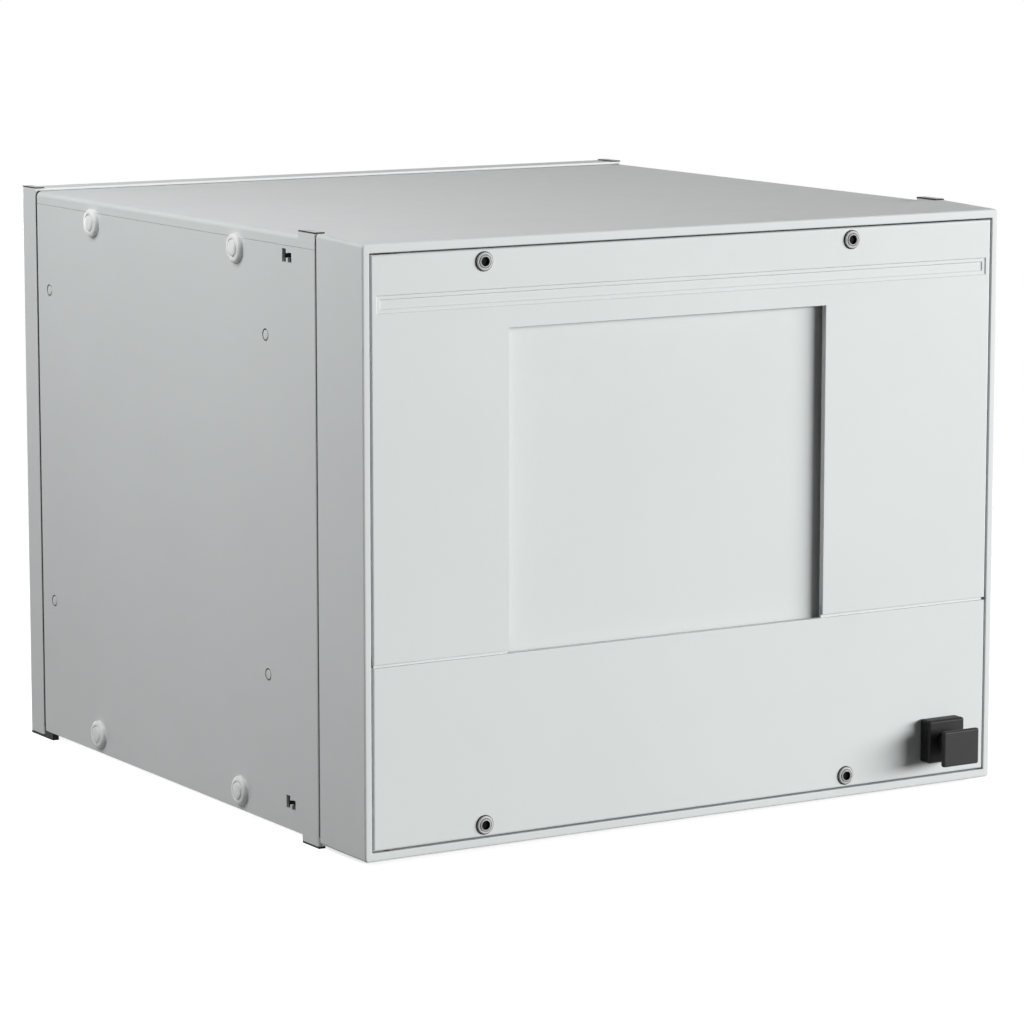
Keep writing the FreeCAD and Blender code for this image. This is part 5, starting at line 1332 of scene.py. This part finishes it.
class OVEN_OT_electronics(Builder, bpy.types.Operator):
    """Build the power supply, relay and control board under the chamber"""
    bl_idname = "oven.electronics"
    bl_label = "Electronics"

    def build(self, sizes):
        dressed("power_supply", 1.2 * MM)
        dressed("solid_state_relay", 1.2 * MM)
        dressed("control_board", 0.3 * MM)
        low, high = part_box("power_supply")
        strip = block((low.x + 6 * MM, low.y + 1 * MM, high.z), (high.x - 6 * MM, low.y + 13 * MM, high.z + 7 * MM),
                      0.8 * MM)
        piece_of("supply_terminals", strip, "black_plastic")
        spots = [((low.x + (14 + 10 * i) * MM, low.y + 7 * MM, high.z + 7 * MM), (0, 0, 1)) for i in range(8)]
        low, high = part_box("solid_state_relay")
        spots += [((x, y, high.z), (0, 0, 1)) for x in (low.x + 9 * MM, high.x - 9 * MM)
                  for y in (low.y + 8 * MM, high.y - 8 * MM)]
        stands = solids("board_standoffs")
        board_low, board_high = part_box("control_board")
        spots += spots_on("board_standoffs", 2, board_high.z, 1)
        head = mm((3.2, -0.2), (3.3, 0.2), (3.2, 0.9), (2.8, 1.5), (2.3, 1.8), (1.9, 1.9))
        spread("bay_screws", recessed_head(head, cross, 1.7 * MM, 1.0 * MM), spots, "bright_steel", spin=1.5,
               seed=11)
        tall = stands[0][1].z - stands[0][0].z
        spread("hex_standoffs", hex_nut(3 * MM, 1.2 * MM, tall), spots_on("board_standoffs", 2, stands[0][0].z, 1),
               "bright_steel", "board_standoffs", spin=1.0, seed=2)
        self.board_parts(board_low, board_high.z)

    def board_parts(self, corner, top):
        """Chips, connectors and capacitors on the control board."""
        chips = []
        for x, y, wide, deep, tall in ((52, 62, 22, 22, 1.8), (22, 40, 10, 16, 2), (92, 48, 12, 10, 2),
                                       (30, 118, 28, 12, 9), (70, 118, 28, 12, 9), (100, 86, 16, 24, 12),
                                       (14, 158, 44, 10, 11), (74, 158, 44, 10, 11)):
            low = Vector((corner.x + x * MM, corner.y + y * MM, top))
            chips.append(block(low, low + Vector((wide, deep, tall)) * MM, 0.4 * MM))
        piece_of("board_chips", joined(*chips), "black_plastic")
        can = turned(mm((4.7, 0), (5, 0.4), (5, 1.6), (4.7, 2), (5, 2.4), (5, 12.2), (4.5, 12.8), (3.6, 12.8),
                        (3.4, 12.6)), 24)
        spots = [((corner.x + x * MM, corner.y + y * MM, top), (0, 0, 1))
                 for x, y in ((22, 78), (36, 78), (22, 94), (36, 94), (112, 22))]
        spread("board_cans", can, spots, "bright_steel")


class OVEN_OT_carcass(Builder, bpy.types.Operator):
    """Build the posts, base plate and shelf that carry the panels"""
    bl_idname = "oven.carcass"
    bl_label = "Posts, base and shelf"

    def build(self, sizes):
        for node in ("corner_posts", "base_plate", "bay_shelf"):
            dressed(node, 0.4 * MM)


class OVEN_OT_plain_finishes(bpy.types.Operator):
    """Give every CAD node the finish of its slot"""
    bl_idname = "oven.plain_finishes"
    bl_label = "CAD finishes"

    def execute(self, context):
        for name, node in frame["nodes"].items():
            node.data.materials.clear()
            node.data.materials.append(finish(SLOT_OF[name]))
        return {"FINISHED"}


# Stage

# Each light's name, place, target, width and height, and the setting that holds its power
LIGHTS = (
    ("key_light", (4.0, -4.0, 1.0), (0.0, -0.25, 0.2), (5.0, 1.4), "key_power"),
    ("side_light", (-1.02, 0.05, 1.0), (-0.25, 0.0, 0.25), (0.8, 0.8), "side_power"),
    ("back_light", (0.0, 3.2, 0.2), (0.0, 0.25, 0.2), (0.48, 0.3), "back_power"),
)
FLOOR_RADIUS, FADE_START, FADE_END = 1.6, 0.7, 1.5
FLOOR_GLOW = 0.72
FLOOR_BOUNCE = (0.2, 0.2, 0.2, 1.0)


class OVEN_OT_stage(bpy.types.Operator):
    """Set up the floor, lights, background and camera"""
    bl_idname = "oven.stage"
    bl_label = "Stage"

    def execute(self, context):
        scene = context.scene
        stage = scene.oven_stage
        scene.view_settings.view_transform = "Standard"
        lay_floor(scene.oven_colours.floor)
        light_sky(scene, stage.sky_level)
        for name, place, target, size, power in LIGHTS:
            hang_light(name, place, target, size, getattr(stage, power))
        place_camera(scene, stage)
        return {"FINISHED"}


def seen_rays(tree):
    """One for rays that show the background: from the camera, off metal or through glass."""
    path = tree.nodes.new("ShaderNodeLightPath")
    total = path.outputs["Is Camera Ray"]
    for output in ("Is Glossy Ray", "Is Transmission Ray"):
        pick = tree.nodes.new("ShaderNodeMath")
        pick.operation = "MAXIMUM"
        tree.links.new(total, pick.inputs[0])
        tree.links.new(path.outputs[output], pick.inputs[1])
        total = pick.outputs[0]
    return total


def lay_floor(colour):
    """A pale round floor that fades into the white background at its rim and keeps the shadow."""
    shape = bmesh.new()
    bmesh.ops.create_circle(shape, cap_ends=True, segments=96, radius=FLOOR_RADIUS)
    mesh = mesh_of("floor", shape, outward=False)
    recipe = Recipe("floor_card", Specular_IOR_Level=0.0)
    tree = recipe.tree
    recipe.done(recipe.tones(recipe.noise(3, 3), colour, 0.99, 1.0), recipe.level(recipe.noise(90, 2), 0.9, 1.0))
    glow = recipe.feed(recipe.add("ShaderNodeEmission"), Strength=FLOOR_GLOW)
    lit = recipe.add("ShaderNodeAddShader")
    tree.links.new(recipe.shader.outputs[0], lit.inputs[0])
    tree.links.new(glow.outputs[0], lit.inputs[1])
    shade = recipe.feed(recipe.add("ShaderNodeBsdfDiffuse"), Color=FLOOR_BOUNCE)
    seen = recipe.mixed(seen_rays(tree), shade.outputs[0], lit.outputs[0])
    clear = recipe.add("ShaderNodeBsdfTransparent")
    distance = recipe.feed(recipe.add("ShaderNodeVectorMath", operation="LENGTH"), Vector=recipe.spot)
    fade = recipe.level(distance.outputs["Value"], 0.0, 1.0, FADE_START, FADE_END)
    whole = recipe.mixed(fade, seen, clear.outputs[0])
    tree.links.new(whole, tree.nodes["Material Output"].inputs["Surface"])
    mesh.materials.append(recipe.material)
    new_object("floor", mesh)


def light_sky(scene, level):
    """White to the eye and in reflections, and a softer even light on the pieces."""
    world = bpy.data.worlds.new("studio")
    world.use_nodes = True
    tree = world.node_tree
    strength = tree.nodes.new("ShaderNodeMapRange")
    tree.links.new(seen_rays(tree), strength.inputs["Value"])
    strength.inputs["To Min"].default_value = level
    tree.links.new(strength.outputs["Result"], tree.nodes["Background"].inputs["Strength"])
    tree.nodes["Background"].inputs["Color"].default_value = (1.0, 1.0, 1.0, 1.0)
    scene.world = world


def hang_light(name, place, target, size, power):
    """A soft light of a width and height at a place, aimed at a target."""
    lamp = bpy.data.lights.new(name, "AREA")
    lamp.shape = "RECTANGLE"
    lamp.size, lamp.size_y = size
    lamp.energy = power
    light = new_object(name, lamp)
    light.location = place
    light.visible_camera = False
    light.rotation_euler = (Vector(target) - Vector(place)).to_track_quat("-Z", "Y").to_euler()


def place_camera(scene, stage):
    lens = bpy.data.cameras.new("camera")
    lens.lens = stage.camera_lens
    lens.sensor_width = 36.0
    camera = new_object("camera", lens)
    camera.location = stage.camera_place
    camera.rotation_euler = (math.pi / 2 - stage.camera_pitch, 0.0, -stage.camera_turn)
    scene.camera = camera


# Panel and run

OPERATORS = (
    OVEN_OT_plain_finishes,
    OVEN_OT_front_frame,
    OVEN_OT_door_panels,
    OVEN_OT_door_screws,
    OVEN_OT_latch,
    OVEN_OT_body_panels,
    OVEN_OT_corner_ends,
    OVEN_OT_side_fittings,
    OVEN_OT_rear_fittings,
    OVEN_OT_cooling_fan,
    OVEN_OT_chamber,
    OVEN_OT_heaters,
    OVEN_OT_board_rack,
    OVEN_OT_convection_fan,
    OVEN_OT_door_inside,
    OVEN_OT_electronics,
    OVEN_OT_carcass,
    OVEN_OT_stage,
)


class OVEN_PT_pieces(bpy.types.Panel):
    """Lists the operators that build the oven"""
    bl_idname = "OVEN_PT_pieces"
    bl_label = "Reflow oven"
    bl_space_type = "VIEW_3D"
    bl_region_type = "UI"
    bl_category = "Oven"

    def draw(self, context):
        for operator in OPERATORS:
            self.layout.operator(operator.bl_idname)


CLASSES = (OvenSizes, OvenColours, OvenStage, *OPERATORS, OVEN_PT_pieces)
SETTINGS = {"oven_sizes": OvenSizes, "oven_colours": OvenColours, "oven_stage": OvenStage}


def register():
    for each in CLASSES:
        bpy.utils.register_class(each)
    for name, group in SETTINGS.items():
        setattr(bpy.types.Scene, name, PointerProperty(type=group))


def unregister():
    for name in SETTINGS:
        delattr(bpy.types.Scene, name)
    for each in reversed(CLASSES):
        bpy.utils.unregister_class(each)


def main():
    register()
    for operator in OPERATORS:
        family, name = operator.bl_idname.split(".")
        getattr(getattr(bpy.ops, family), name)()


if __name__ == "__main__":
    main()
